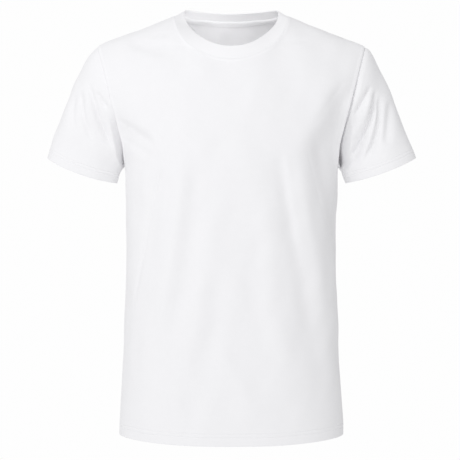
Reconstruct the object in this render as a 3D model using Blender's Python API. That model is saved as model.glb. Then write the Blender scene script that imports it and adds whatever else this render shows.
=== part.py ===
"""Crew neck t-shirt in its worn shape, hollow: front, back, two set-in sleeves, neck rib and neck tape.

Frame: metres, +Z up. The front faces -Y and the wearer's left is +X. The origin is where the wearer
carries the garment: midway between the two points where a shoulder seam meets the neck seam.

Every cut piece is one wall. The walls share their seam points, so two neighbours end in parallel
faces, one seam gap apart. The cloth's shape is a smooth form over a general figure, given by the
sections in the tables below, with the largest folds moved out of it or into it.
"""

import math
from collections import namedtuple

import bpy
import numpy as np
from mathutils.bvhtree import BVHTree

# ---- Sizes, in metres -------------------------------------------------------------------------
CLOTH = 0.0012  # single jersey, with the room its surface fibres take
HEM_CLOTH = 0.0022  # the hem is folded double
RIB_CLOTH = 0.0022  # the neck rib is folded double
TAPE_CLOTH = 0.0010
SEAM_GAP = 0.0003
SEAM_STEP = 0.0010  # over which a hem's double cloth comes down to single
MOST_MITRE = 1.6  # the longest seam face, in wall thicknesses
FOLDED_EDGE = 0.35  # how far a folded edge stands out round, in wall thicknesses

HEM_LEVEL = -0.7165  # at the side seams
HEM_DROOP_FRONT = 0.0074  # how much lower the hem hangs in the middle of the front
HEM_DROOP_BACK = 0.0020
HEM_HEIGHT = 0.019
CUFF_HEIGHT = 0.017
UNDERARM_LEVEL = -0.261
SHOULDER_HALF = 0.228  # from the middle to the shoulder point
NECK_HALF = 0.0965  # from the middle to the neck seam on the shoulder
SECTION_POWER = 2.4  # 2 is an ellipse, more is squarer

SLEEVE_TILT = math.radians(20.0)  # of the sleeve's line, out from straight down
TUCK = 0.95  # how sharply the sleeve turns in behind its seam near the armpit
TUCK_PLACE = 0.30  # 0 is under the arm, 1 the shoulder point
TUCK_SPREAD = 0.20
CUFF_CENTRE = (0.2556, 0.003, -0.2675)
CUFF_HALF_WIDTH = 0.0635
CUFF_HALF_DEPTH = 0.0475
CUFF_POWER = 2.15
CUFF_DROOP_BACK = -0.0020  # how much lower the cuff hangs at the back than at its sides

NECK_FRONT_TURN = math.radians(50.6)  # how far down its curve the neck seam lies at the front
NECK_BACK_TURN = math.radians(33.8)
NECK_FRONT_POWER = 0.62
NECK_BACK_POWER = 0.85
TAPE_TOP = 0.0012  # from the neck seam
TAPE_WIDTH = 0.0125
TAPE_CLEARANCE = 0.0004

# ---- Counts of cells --------------------------------------------------------------------------
SIDE_ROWS = 14  # hem to underarm
ARM_ROWS = 15  # underarm to shoulder seam
NECK_ROWS = 10  # of all those rows, the topmost that start at the neck seam
HALF_COLUMNS = 19  # middle to side seam
SLEEVE_RINGS = 13
RIB_RINGS = 4
TAPE_ROWS = 3

# ---- The figure's sections --------------------------------------------------------------------
Ridge = namedtuple("Ridge", "x y z")
RIDGE = (  # the line along the top of the shoulders; its first row makes it level in the middle
    Ridge(-0.040, 0.018, 0.0220),
    Ridge(0.000, 0.020, 0.0270),
    Ridge(0.040, 0.018, 0.0220),
    Ridge(0.073, 0.014, 0.0080),
    Ridge(0.094, 0.010, -0.0010),
    Ridge(0.140, 0.005, -0.0205),
    Ridge(0.180, 0.001, -0.0357),
    Ridge(0.218, 0.000, -0.0516),
    Ridge(0.228, 0.000, -0.0570),
    Ridge(0.260, 0.000, -0.0770),
)

Section = namedtuple("Section", "level half_width front_depth back_depth")
SECTIONS = (  # level sections of the body; over the underarm they reach on into the sleeve
    Section(0.030, 0.252, 0.1180, 0.1120),
    Section(-0.057, 0.250, 0.1180, 0.1120),
    Section(-0.110, 0.244, 0.1180, 0.1120),
    Section(-0.157, 0.229, 0.1180, 0.1120),
    Section(-0.197, 0.208, 0.1180, 0.1118),
    Section(-0.235, 0.1895, 0.1180, 0.1110),
    Section(-0.261, 0.1822, 0.1180, 0.1100),
    Section(-0.300, 0.1810, 0.1180, 0.1078),
    Section(-0.345, 0.1798, 0.1165, 0.1045),
    Section(-0.395, 0.1790, 0.1140, 0.1010),
    Section(-0.447, 0.1797, 0.1120, 0.0990),
    Section(-0.500, 0.1815, 0.1105, 0.0985),
    Section(-0.550, 0.1832, 0.1098, 0.0992),
    Section(-0.601, 0.1850, 0.1100, 0.1005),
    Section(-0.653, 0.1876, 0.1110, 0.1022),
    Section(-0.704, 0.1910, 0.1122, 0.1038),
    Section(-0.730, 0.1920, 0.1125, 0.1042),
)

Armhole = namedtuple("Armhole", "z front_x back_x")
ARMHOLE = (  # the sleeve seam, seen from the front
    Armhole(-0.0570, 0.2280, 0.2280),
    Armhole(-0.0850, 0.2195, 0.2215),
    Armhole(-0.1160, 0.2108, 0.2145),
    Armhole(-0.1560, 0.2010, 0.2060),
    Armhole(-0.1970, 0.1907, 0.1955),
    Armhole(-0.2350, 0.1830, 0.1855),
    Armhole(-0.2610, 0.1822, 0.1822),
)

Face = namedtuple("Face", "sign full_level depth hem_droop")
FRONT = Face(-1, -0.285, "front_depth", HEM_DROOP_FRONT)  # full_level: where the chest is fullest
BACK = Face(1, -0.150, "back_depth", HEM_DROOP_BACK)

Rim = namedtuple("Rim", "x y z")
RIM = (  # the rib's upper edge, from the middle of the front round to the middle of the back
    Rim(0.0000, -0.0810, -0.0648),
    Rim(0.0182, -0.0790, -0.0628),
    Rim(0.0322, -0.0745, -0.0582),
    Rim(0.0463, -0.0655, -0.0500),
    Rim(0.0608, -0.0500, -0.0378),
    Rim(0.0750, -0.0265, -0.0196),
    Rim(0.0812, -0.0060, -0.0040),
    Rim(0.0818, 0.0100, 0.0062),
    Rim(0.0790, 0.0230, 0.0110),
    Rim(0.0690, 0.0370, 0.0119),
    Rim(0.0520, 0.0470, 0.0116),
    Rim(0.0280, 0.0530, 0.0106),
    Rim(0.0000, 0.0545, 0.0098),
)
RIM_SHOULDER = 7  # the row of the table that the shoulder seam points at
RIB_SWELL = 0.0008

# ---- Folds ------------------------------------------------------------------------------------
# A fold runs from (x0, z0) to (x1, z1) seen from the front, bowed sideways by bow. It is wide_0 and
# wide_1 to either side at its ends, and rise high; a negative rise is a trough.
Fold = namedtuple("Fold", "x0 z0 x1 z1 bow wide_0 wide_1 rise")
FRONT_FOLDS = (
    Fold(0.121, -0.225, 0.168, -0.560, 0.006, 0.012, 0.020, -0.0050),
    Fold(0.110, -0.250, 0.152, -0.560, 0.006, 0.014, 0.020, 0.0040),
    Fold(0.072, -0.245, 0.140, -0.660, 0.004, 0.014, 0.022, -0.0050),
    Fold(0.050, -0.300, 0.095, -0.690, 0.000, 0.018, 0.026, 0.0030),
    Fold(-0.098, -0.240, -0.150, -0.570, -0.004, 0.012, 0.018, 0.0050),
    Fold(-0.122, -0.260, -0.168, -0.500, -0.003, 0.010, 0.014, -0.0035),
    Fold(-0.068, -0.250, -0.135, -0.600, -0.006, 0.014, 0.020, -0.0045),
    Fold(-0.040, -0.350, -0.090, -0.680, 0.000, 0.018, 0.026, 0.0030),
    Fold(-0.030, -0.500, -0.075, -0.700, 0.000, 0.014, 0.018, -0.0025),
    Fold(-0.190, -0.200, -0.130, -0.235, 0.000, 0.012, 0.020, -0.0045),
    Fold(0.190, -0.195, 0.128, -0.245, 0.000, 0.014, 0.022, -0.0060),
    Fold(-0.175, -0.050, -0.085, -0.075, 0.003, 0.010, 0.014, -0.0030),
)
BACK_FOLDS = (
    Fold(0.150, -0.180, 0.060, -0.420, -0.010, 0.016, 0.022, -0.0050),
    Fold(-0.150, -0.180, -0.070, -0.430, 0.010, 0.016, 0.022, -0.0050),
    Fold(0.118, -0.230, 0.105, -0.640, -0.006, 0.016, 0.024, 0.0050),
    Fold(-0.122, -0.250, -0.110, -0.650, 0.006, 0.016, 0.024, 0.0045),
    Fold(0.030, -0.330, 0.052, -0.690, 0.004, 0.018, 0.024, -0.0045),
    Fold(-0.025, -0.360, -0.050, -0.690, -0.004, 0.018, 0.024, -0.0040),
    Fold(0.190, -0.200, 0.120, -0.190, 0.004, 0.012, 0.018, -0.0050),
    Fold(-0.190, -0.200, -0.125, -0.185, -0.004, 0.012, 0.018, -0.0050),
)
# Sleeve folds are the same, for the sleeve at +X; the other sleeve's are given with x turned round.
LEFT_SLEEVE_FRONT_FOLDS = (
    Fold(0.2420, -0.1150, 0.2150, -0.1900, -0.003, 0.0060, 0.0070, -0.0040),
    Fold(0.2520, -0.1250, 0.2080, -0.2500, 0.008, 0.0070, 0.0080, -0.0060),
    Fold(0.2620, -0.1450, 0.2300, -0.2560, 0.007, 0.0080, 0.0090, -0.0055),
    Fold(0.2740, -0.1500, 0.2640, -0.2300, 0.003, 0.0080, 0.0090, -0.0025),
    Fold(0.2480, -0.1300, 0.2150, -0.2300, 0.006, 0.0070, 0.0080, 0.0030),
    Fold(0.2060, -0.1700, 0.1880, -0.2850, 0.002, 0.0090, 0.0120, -0.0080),
)
RIGHT_SLEEVE_FRONT_FOLDS = (
    Fold(0.2560, -0.1250, 0.2360, -0.2480, 0.006, 0.0060, 0.0080, -0.0035),
    Fold(0.2420, -0.1120, 0.2130, -0.2050, 0.002, 0.0060, 0.0080, -0.0045),
    Fold(0.2270, -0.1350, 0.2020, -0.1720, 0.001, 0.0060, 0.0070, -0.0035),
    Fold(0.2690, -0.1250, 0.2690, -0.2150, 0.003, 0.0080, 0.0080, -0.0020),
    Fold(0.2060, -0.1700, 0.1880, -0.2850, 0.002, 0.0090, 0.0120, -0.0080),
)
SLEEVE_BACK_FOLDS = (
    Fold(0.2500, -0.1150, 0.2200, -0.2450, 0.006, 0.0080, 0.0100, -0.0045),
    Fold(0.2680, -0.1300, 0.2480, -0.2500, 0.005, 0.0080, 0.0100, -0.0030),
    Fold(0.2080, -0.1700, 0.1910, -0.2800, 0.002, 0.0090, 0.0120, -0.0060),
)


def smooth(table, column, at):
    """Reads one column of a table between its rows, on curves that never overshoot a row."""
    keys = np.array([row[0] for row in table])
    values = np.array([getattr(row, column) for row in table])
    if keys[0] > keys[-1]:
        keys, values = keys[::-1], values[::-1]
    steps = np.diff(keys)
    slopes = np.diff(values) / steps
    tangents = np.zeros_like(values)
    tangents[0], tangents[-1] = slopes[0], slopes[-1]
    same_way = slopes[:-1] * slopes[1:] > 0
    near, far = 2 * steps[1:] + steps[:-1], steps[1:] + 2 * steps[:-1]
    with np.errstate(divide="ignore", invalid="ignore"):
        mean = (near + far) / (near / slopes[:-1] + far / slopes[1:])
    tangents[1:-1] = np.where(same_way, mean, 0)
    at = np.clip(at, keys[0], keys[-1])
    i = np.clip(np.searchsorted(keys, at) - 1, 0, len(steps) - 1)
    t = (at - keys[i]) / steps[i]
    return (
        (1 + 2 * t) * (1 - t) ** 2 * values[i]
        + t * (1 - t) ** 2 * steps[i] * tangents[i]
        + t**2 * (3 - 2 * t) * values[i + 1]
        - t**2 * (1 - t) * steps[i] * tangents[i + 1]
    )


def ease(t):
    """0 before 0, 1 after 1, and a smooth step between."""
    t = np.clip(t, 0, 1)
    return t * t * (3 - 2 * t)


def other_part(share, power):
    """The other coordinate of a point on a superellipse of half sizes 1."""
    return np.clip(1 - np.abs(share) ** power, 0, 1) ** (1 / power)


# ---- The body's form --------------------------------------------------------------------------
# A point of the form has a turn, 0 in the middle and 90 degrees at the side, and a fall: 0 on the
# shoulder line, 1 where the chest or the shoulder blades stand furthest out, and more below.
FALL_STEP = 0.42  # height of one unit of fall below 1


def form_at(face, x, z, fall):
    """The depth y of the form at x and z; fall settles it where the form is nearly level."""
    across = other_part(x / smooth(SECTIONS, "half_width", z), SECTION_POWER)
    angle = np.clip(fall, 0, 1) * math.pi / 2
    depth = smooth(SECTIONS, face.depth, np.where(fall > 1, z, face.full_level))
    ridge = smooth(RIDGE, "y", np.abs(x)) * np.cos(angle)
    rounder = 1 - 0.35 * np.clip(np.abs(x) / SHOULDER_HALF, 0, 1) ** 2
    out = np.sin(angle) ** rounder * across
    return ridge + (face.sign * depth - ridge) * out


def height_at(face, x, fall):
    """The height of the form at x and fall."""
    top = smooth(RIDGE, "z", np.abs(x))
    upper = face.full_level + (top - face.full_level) * np.cos(np.clip(fall, 0, 1) * math.pi / 2)
    return upper - np.clip(fall - 1, 0, None) * FALL_STEP


def fall_at(face, x, z):
    """The fall of the form's point at x and z."""
    top = smooth(RIDGE, "z", np.abs(x))
    share = np.clip((z - face.full_level) / (top - face.full_level), 0, 1)
    return np.where(z < face.full_level, 1 + (face.full_level - z) / FALL_STEP, np.arccos(share) * 2 / math.pi)


def form_point(face, turn, fall):
    """The form's point at a turn and fall, for x of 0 or more."""
    share = np.sin(turn) ** (2 / SECTION_POWER)
    x = share * SHOULDER_HALF
    for _ in range(12):  # the half width depends on the height, which depends a little on x
        z = height_at(face, x, fall)
        x = share * smooth(SECTIONS, "half_width", z)
    return np.stack([x, form_at(face, x, z, fall), z], axis=-1)


def turn_at(x, z):
    share = np.clip(np.abs(x) / smooth(SECTIONS, "half_width", z), 0, 1)
    return np.arcsin(share ** (SECTION_POWER / 2))


def evenly(points, count):
    """Places along a line of points, as shares of its list, that divide its length evenly."""
    lengths = np.concatenate([[0], np.cumsum(np.linalg.norm(np.diff(points, axis=0), axis=1))])
    return np.interp(np.linspace(0, lengths[-1], count + 1), lengths, np.linspace(0, 1, len(points)))


# ---- Seams ------------------------------------------------------------------------------------
FINE = 400  # points that stand for a curve while it is being divided


def armhole_places(face):
    """Turn and fall of the armhole's points, from underarm to shoulder point."""
    column = "front_x" if face is FRONT else "back_x"

    def at(share):
        # The share runs as an angle, because the seam is level at both of its ends.
        middle, half = (ARMHOLE[0].z + UNDERARM_LEVEL) / 2, (ARMHOLE[0].z - UNDERARM_LEVEL) / 2
        z = middle - half * np.cos(share * math.pi)
        x = smooth(ARMHOLE, column, z)
        fall = fall_at(face, x, z)
        return turn_at(x, z), fall

    turn, fall = at(np.linspace(0, 1, FINE))
    return at(evenly(form_point(face, turn, fall), ARM_ROWS))


def neck_places(face):
    """Turn and fall of the neck seam's points, from the middle to the shoulder seam."""
    far, power = (
        (NECK_FRONT_TURN, NECK_FRONT_POWER) if face is FRONT else (NECK_BACK_TURN, NECK_BACK_POWER)
    )

    def at(share):
        angle = share * math.pi / 2
        x = NECK_HALF * np.sin(angle)
        fall = far * np.clip(np.cos(angle), 0, 1) ** power * 2 / math.pi
        return turn_at(x, height_at(face, x, fall)), fall

    shares = 1 - np.linspace(1, 0, FINE) ** 2  # closer together near the shoulder seam
    turn, fall = at(shares)
    return at(np.interp(evenly(form_point(face, turn, fall), NECK_ROWS), np.linspace(0, 1, FINE), shares))


def row_ends(face):
    """For each row of a panel: (turn, fall) at its inner end, then at its outer end."""
    rows = SIDE_ROWS + ARM_ROWS
    single = HEM_LEVEL + HEM_HEIGHT + SEAM_STEP
    side = np.concatenate([[HEM_LEVEL, single - SEAM_STEP], np.linspace(single, UNDERARM_LEVEL, SIDE_ROWS - 1)])
    side_turn = np.full(len(side), math.pi / 2)
    side_fall = fall_at(face, smooth(SECTIONS, "half_width", side), side)
    arm_turn, arm_fall = armhole_places(face)
    outer = np.stack(
        [np.concatenate([side_turn, arm_turn[1:]]), np.concatenate([side_fall, arm_fall[1:]])], axis=-1
    )
    neck_turn, neck_fall = neck_places(face)
    middle_rows = rows - NECK_ROWS
    # Below the underarm the rows are level; from there they spread out to the neck's lowest point.
    level = side_fall[-1] + (neck_fall[0] - side_fall[-1]) * np.arange(1, middle_rows - SIDE_ROWS + 1) / (
        middle_rows - SIDE_ROWS
    )
    inner_fall = np.concatenate([side_fall, level, neck_fall[1:]])
    inner_turn = np.concatenate([np.zeros(middle_rows + 1), neck_turn[1:]])
    return np.stack([inner_turn, inner_fall], axis=-1), outer


def half_panel(face):
    """Points of a panel's half at +X: rows from hem to shoulder seam, columns from middle to side."""
    inner, outer = row_ends(face)
    share = np.linspace(0, 1, HALF_COLUMNS + 1)
    place = inner[:, None] + (outer - inner)[:, None] * share[None, :, None]
    points = form_point(face, place[..., 0], place[..., 1])
    points[: SIDE_ROWS + 1, -1, 1] = 0
    down = np.clip((UNDERARM_LEVEL - points[..., 2]) / (UNDERARM_LEVEL - HEM_LEVEL), 0, 1)
    share = points[..., 1] / smooth(SECTIONS, face.depth, points[..., 2])
    points[..., 2] -= face.hem_droop * down**2 * np.abs(share) ** 3
    if face is BACK:  # it takes its side and shoulder seams from the front, to the last digit
        front = half_panel(FRONT)
        points[: SIDE_ROWS + 1, -1] = front[: SIDE_ROWS + 1, -1]
        points[-1] = front[-1]
    return points


# ---- Pieces of cloth --------------------------------------------------------------------------
class Piece:
    """One cut piece: its outer face as points and quads that face out, and the wall at each point."""

    def __init__(self, name, points, quads, walls, folded_edges=True):
        self.name = name
        self.points = np.asarray(points, float)
        self.quads = quads
        self.walls = np.broadcast_to(walls, len(self.points)).astype(float)
        self.folded_edges = folded_edges
        uses = {}
        for quad in quads:
            for a, b in zip(quad, quad[1:] + quad[:1]):
                uses[(a, b)] = True
        self.rim = [(a, b) for a, b in uses if (b, a) not in uses]

    def normals(self):
        total = np.zeros_like(self.points)
        corners = self.points[np.array(self.quads)]
        faces = np.cross(corners[:, 2] - corners[:, 0], corners[:, 3] - corners[:, 1])
        for corner in range(4):
            np.add.at(total, np.array(self.quads)[:, corner], faces)
        return total / np.linalg.norm(total, axis=1, keepdims=True)

    def key(self, index):
        """The same for the points of two pieces that stand in one place."""
        return tuple(np.round(self.points[index] * 1e6).astype(int))

    def fold(self, folds, seam_points, fade, where=True):
        """Moves the cloth out or in along the folds, and leaves it alone at its seams."""
        rise = np.zeros(len(self.points))
        for fold in folds:
            rise += fold_rise(fold, self.points[:, 0], self.points[:, 2])
        far = np.linalg.norm(self.points[:, None] - seam_points[None], axis=2).min(axis=1)
        self.points += self.normals() * (rise * ease(far / fade) * where)[:, None]


def fold_rise(fold, x, z):
    """How far a fold moves the cloth at x and z, seen from the front."""
    start = np.array([fold.x0, fold.z0])
    along = np.array([fold.x1, fold.z1]) - start
    length = np.linalg.norm(along)
    along = along / length
    dx, dz = x - start[0], z - start[1]
    share = (dx * along[0] + dz * along[1]) / length
    aside = dx * along[1] - dz * along[0] - fold.bow * 4 * share * (1 - share)
    width = fold.wide_0 + (fold.wide_1 - fold.wide_0) * np.clip(share, 0, 1)
    ends = ease(share / 0.22 + 0.15) * ease((1 - share) / 0.40 + 0.10)
    return fold.rise * ends * np.exp(-((aside / width) ** 2))


def panel(name, face, folds):
    """The front or the back: two half grids that share their middle line under the neck."""
    half = half_panel(face)
    rows, columns = half.shape[:2]
    middle_rows = rows - NECK_ROWS
    points = []
    number = {}
    for side in (1, -1):
        for i in range(rows):
            for j in range(columns):
                if side < 0 and j == 0 and i < middle_rows:
                    number[side, i, j] = number[1, i, j]
                    continue
                number[side, i, j] = len(points)
                points.append(half[i, j] * (side, 1, 1))
    quads = []
    for side in (1, -1):
        for i in range(rows - 1):
            for j in range(columns - 1):
                quad = [(i, j), (i, j + 1), (i + 1, j + 1), (i + 1, j)]
                if side * face.sign > 0:
                    quad.reverse()
                quads.append([number[(side, *at)] for at in quad])
    walls = np.full(len(points), CLOTH)
    for (_, i, _), at in number.items():
        if i < 2:
            walls[at] = HEM_CLOTH
    piece = Piece(name, points, quads, walls)
    seams = [number[side, i, columns - 1] for side in (1, -1) for i in range(rows)]
    seams += [number[side, rows - 1, j] for side in (1, -1) for j in range(columns)]
    seams += [number[side, i, 0] for side in (1, -1) for i in range(middle_rows - 1, rows)]
    piece.fold(folds, piece.points[seams], 0.024)
    return piece


def tube(rings):
    """Quads between closed rings; a ring's points run so that the quads face out."""
    count = len(rings[0])
    quads = []
    for i in range(len(rings) - 1):
        for j in range(count):
            k = (j + 1) % count
            quads.append([i * count + j, i * count + k, (i + 1) * count + k, (i + 1) * count + j])
    return quads


def there_and_back(front_half, back_half):
    """One line out of two that end in the same point: along the front one, then back along the other."""
    return np.concatenate([front_half, back_half[::-1][1:]])


def sleeve(name, side, droop, front_folds, back_folds):
    """A tube from the armhole to the cuff, on lines that leave the shoulder and bend down the arm.

    droop is how much lower the cuff hangs at the front than at its sides.
    """
    halves = [half_panel(face) for face in (FRONT, BACK)]
    start = there_and_back(*[half[SIDE_ROWS:, -1] for half in halves])[:-1]
    inward = there_and_back(*[half[SIDE_ROWS:, -2] for half in halves])[:-1]
    count = len(start)
    share = np.minimum(np.arange(count), count - np.arange(count)) / ARM_ROWS  # 0 underarm, 1 shoulder
    cuff = cuff_ring(np.arange(count) / count, droop)
    down = np.array([math.sin(SLEEVE_TILT), 0, -math.cos(SLEEVE_TILT)])
    above = cuff - down * (CUFF_HEIGHT + SEAM_STEP)
    reach = np.linalg.norm(above - start, axis=1)[:, None]
    onward = start - inward  # the way the panel was going
    onward /= np.linalg.norm(onward, axis=1)[:, None]
    outward = np.zeros((count, 3))
    outward[:, 0] = 1
    outward[:, 2] = -0.25 - 0.35 * (1 - ease(share / 0.3))
    outward /= np.linalg.norm(outward, axis=1)[:, None]
    follow = ease((share - 0.60) / 0.40)[:, None]
    leave = onward * follow + outward * (1 - follow)
    leave[:, 1] -= np.sign(start[:, 1]) * TUCK * np.exp(-(((share - TUCK_PLACE) / TUCK_SPREAD) ** 2))
    leave /= np.linalg.norm(leave, axis=1)[:, None]
    leave = leave * reach * (0.62 - 0.10 * share[:, None])
    arrive = down * reach * 0.90
    rings = []
    for t in np.linspace(0, 1, SLEEVE_RINGS):
        rings.append(
            (1 + 2 * t) * (1 - t) ** 2 * start
            + t * (1 - t) ** 2 * leave
            + t**2 * (3 - 2 * t) * above
            - t**2 * (1 - t) * arrive
        )
    rings += [above + down * SEAM_STEP, cuff]
    walls = np.repeat([CLOTH] * SLEEVE_RINGS + [HEM_CLOTH] * 2, count)
    points = np.concatenate(rings) * (side, 1, 1)
    quads = tube(rings)
    if side > 0:
        quads = [quad[::-1] for quad in quads]
    piece = Piece(name, points, quads, walls)
    seam = piece.points[:count].copy()
    piece.fold(front_folds, seam, 0.014, piece.points[:, 1] < 0)
    piece.fold(back_folds, seam, 0.014, piece.points[:, 1] > 0)
    return piece


def cuff_ring(share, droop_front):
    """Points of the lower sleeve edge at +X, round from the inner corner over the front."""
    fine = np.linspace(0, 2 * math.pi, 8 * FINE)

    def at(angle):
        wide = -np.sign(np.cos(angle)) * np.abs(np.cos(angle)) ** (2 / CUFF_POWER)
        deep = -np.sign(np.sin(angle)) * np.abs(np.sin(angle)) ** (2 / CUFF_POWER)
        droop = np.where(deep < 0, droop_front, CUFF_DROOP_BACK) * deep**2
        x = CUFF_CENTRE[0] + wide * CUFF_HALF_WIDTH * math.cos(SLEEVE_TILT) + droop * math.sin(SLEEVE_TILT)
        y = CUFF_CENTRE[1] + deep * CUFF_HALF_DEPTH
        z = CUFF_CENTRE[2] + wide * CUFF_HALF_WIDTH * math.sin(SLEEVE_TILT) - droop * math.cos(SLEEVE_TILT)
        return np.stack([x, y, z], axis=-1)

    line = at(fine)
    lengths = np.concatenate([[0], np.cumsum(np.linalg.norm(np.diff(line, axis=0), axis=1))])
    return at(np.interp(share * lengths[-1], lengths, fine))


def rim_points(rows, count):
    """Divides a stretch of the rim's table evenly, on a curve through its rows."""
    table = np.array(rows)
    lengths = np.concatenate([[0], np.cumsum(np.linalg.norm(np.diff(table, axis=0), axis=1))])
    Knot = namedtuple("Knot", "at x y z")
    knots = [Knot(at, *row) for at, row in zip(lengths, rows)]
    at = np.linspace(0, lengths[-1], count + 1)
    return np.stack([smooth(knots, axis, at) for axis in "xyz"], axis=-1)


def neck_rib():
    """The folded band round the neck, from the neck seam up to its rim."""
    seam = there_and_back(*[half_panel(face)[-NECK_ROWS - 1 :, 0] for face in (FRONT, BACK)])
    rim = there_and_back(
        rim_points(RIM[: RIM_SHOULDER + 1], NECK_ROWS), rim_points(RIM[RIM_SHOULDER:], NECK_ROWS)[::-1]
    )
    seam, rim = [np.concatenate([line, line[-2:0:-1] * (-1, 1, 1)]) for line in (seam, rim)]
    middle = rim.mean(axis=0)
    rings = []
    for share in np.linspace(0, 1, RIB_RINGS + 1):
        ring = seam + (rim - seam) * share
        out = ring - middle
        out[:, 2] += 0.06
        out /= np.linalg.norm(out, axis=1)[:, None]
        rings.append(ring + out * RIB_SWELL * 4 * share * (1 - share))
    return Piece("neck_rib", np.concatenate(rings), tube(rings), RIB_CLOTH)


def neck_tape(back, inner):
    """The narrow strip that covers the neck seam inside the back, laid on the panel's inner face."""
    seam = half_panel(BACK)[-NECK_ROWS - 1 :, 0]
    seam = np.concatenate([seam[::-1], seam[1:] * (-1, 1, 1)])
    seam = seam[1:-1]  # it stops short of the shoulder seams
    skin = BVHTree.FromPolygons([tuple(point) for point in inner], back.quads)
    rows = []
    for share in np.linspace(0, 1, TAPE_ROWS + 1):
        row = []
        for k, point in enumerate(seam):
            before, after = seam[max(k - 1, 0)], seam[min(k + 1, len(seam) - 1)]
            down = np.cross(after - before, surface_normal(skin, point))
            down *= (TAPE_TOP + TAPE_WIDTH * share) / np.linalg.norm(down)
            near, normal, _, _ = skin.find_nearest(tuple(point + down))
            row.append(np.array(near) - np.array(normal) * TAPE_CLEARANCE)
        rows.append(row)
    count = len(seam)
    quads = []
    for i in range(TAPE_ROWS):
        for j in range(count - 1):
            at = i * count + j
            quads.append([at, at + count, at + count + 1, at + 1])
    return Piece("back_neck_tape", np.concatenate(rows), quads, TAPE_CLOTH, folded_edges=False)


def surface_normal(skin, point):
    """The normal of the face nearest to a point, which faces out of the garment."""
    return np.array(skin.find_nearest(tuple(point))[1])


# ---- Walls and seams --------------------------------------------------------------------------
def seam_table(pieces):
    """For each place where pieces meet: the sum of their normals there, and how many they are."""
    table = {}
    for piece in pieces:
        normals = piece.normals()
        for index in {a for edge in piece.rim for a in edge}:
            total, count = table.get(piece.key(index), (np.zeros(3), 0))
            table[piece.key(index)] = (total + normals[index], count + 1)
    return {key: entry for key, entry in table.items() if entry[1] > 1}


def wall(piece, seams):
    """The piece's points moved to their side of the seams: outer face, inner face."""
    ways = piece.normals()
    depth = piece.walls.copy()
    for index in {a for edge in piece.rim for a in edge}:
        if piece.key(index) in seams:
            total, count = seams[piece.key(index)]
            length = np.linalg.norm(total)
            ways[index] = total / length
            depth[index] *= min(count / length, MOST_MITRE)
    back_off = np.zeros_like(piece.points)
    sides = {}
    middles = {}
    for quad in piece.quads:
        for a, b in zip(quad, quad[1:] + quad[:1]):
            middles[a, b] = piece.points[quad].mean(axis=0)
    for a, b in piece.rim:
        if piece.key(a) in seams and piece.key(b) in seams:
            side = np.cross(piece.points[b] - piece.points[a], ways[a] + ways[b])
            side /= np.linalg.norm(side)
            if np.dot(side, middles[a, b] - piece.points[a]) < 0:
                side = -side
            for index in (a, b):
                sides.setdefault(index, []).append(side)
    for index, found in sides.items():
        if len(found) == 1:
            back_off[index] = found[0]
        else:
            back_off[index] = (found[0] + found[1]) / max(1 + np.dot(found[0], found[1]), 0.4)
    outer = piece.points + back_off * SEAM_GAP / 2
    return outer, outer - ways * depth[:, None]


def solid(piece, outer, inner):
    """Points and faces of the closed wall; an edge that is folded cloth is rounded."""
    count = len(outer)
    points = list(outer) + list(inner)
    faces = []
    for quad in piece.quads:
        a, b, c, d = quad
        if np.linalg.norm(outer[a] - outer[c]) <= np.linalg.norm(outer[b] - outer[d]):
            halves = ([a, b, c], [a, c, d])
        else:
            halves = ([a, b, d], [b, c, d])
        for half in halves:
            faces.append(half)
            faces.append([count + at for at in reversed(half)])
    middle = {}
    if piece.folded_edges:
        free = [edge for edge in piece.rim if not (piece.on_seam[edge[0]] and piece.on_seam[edge[1]])]
        away = {}
        for a, b in free:
            out = np.cross(outer[b] - outer[a], outer[a] - inner[a])
            for index in (a, b):
                away[index] = away.get(index, 0) + out / np.linalg.norm(out)
        for index, out in away.items():
            thick = np.linalg.norm(outer[index] - inner[index])
            out = out / np.linalg.norm(out)
            middle[index] = len(points)
            points.append((outer[index] + inner[index]) / 2 + out * FOLDED_EDGE * thick)
    for a, b in piece.rim:
        if a in middle and b in middle:
            faces.append([b, a, middle[a], middle[b]])
            faces.append([middle[b], middle[a], count + a, count + b])
        elif a in middle or b in middle:
            near = [middle[a]] if a in middle else []
            far = [middle[b]] if b in middle else []
            faces.append([b, a, *near, count + a, count + b, *far])
        elif piece.key(a) < piece.key(b):  # both pieces of a seam split its faces the same way
            faces.append([b, a, count + b])
            faces.append([a, count + a, count + b])
        else:
            faces.append([b, a, count + a])
            faces.append([b, count + a, count + b])
    return points, faces


def add_object(name, points, faces, finish):
    mesh = bpy.data.meshes.new(name)
    mesh.from_pydata([tuple(point) for point in points], [], faces)
    mesh.validate()
    mesh.shade_smooth()
    mesh.set_sharp_from_angle(angle=math.radians(50))
    mesh.materials.append(finish)
    obj = bpy.data.objects.new(name, mesh)
    bpy.context.scene.collection.objects.link(obj)
    return obj


def material(name, colour, roughness):
    made = bpy.data.materials.new(name)
    made.use_nodes = True
    shader = made.node_tree.nodes["Principled BSDF"]
    shader.inputs["Base Color"].default_value = (*colour, 1)
    shader.inputs["Roughness"].default_value = roughness
    shader.inputs["Metallic"].default_value = 0
    return made


def mirrored(folds):
    """The same folds on the other side of the garment."""
    return tuple(fold._replace(x0=-fold.x0, x1=-fold.x1, bow=-fold.bow) for fold in folds)


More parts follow.
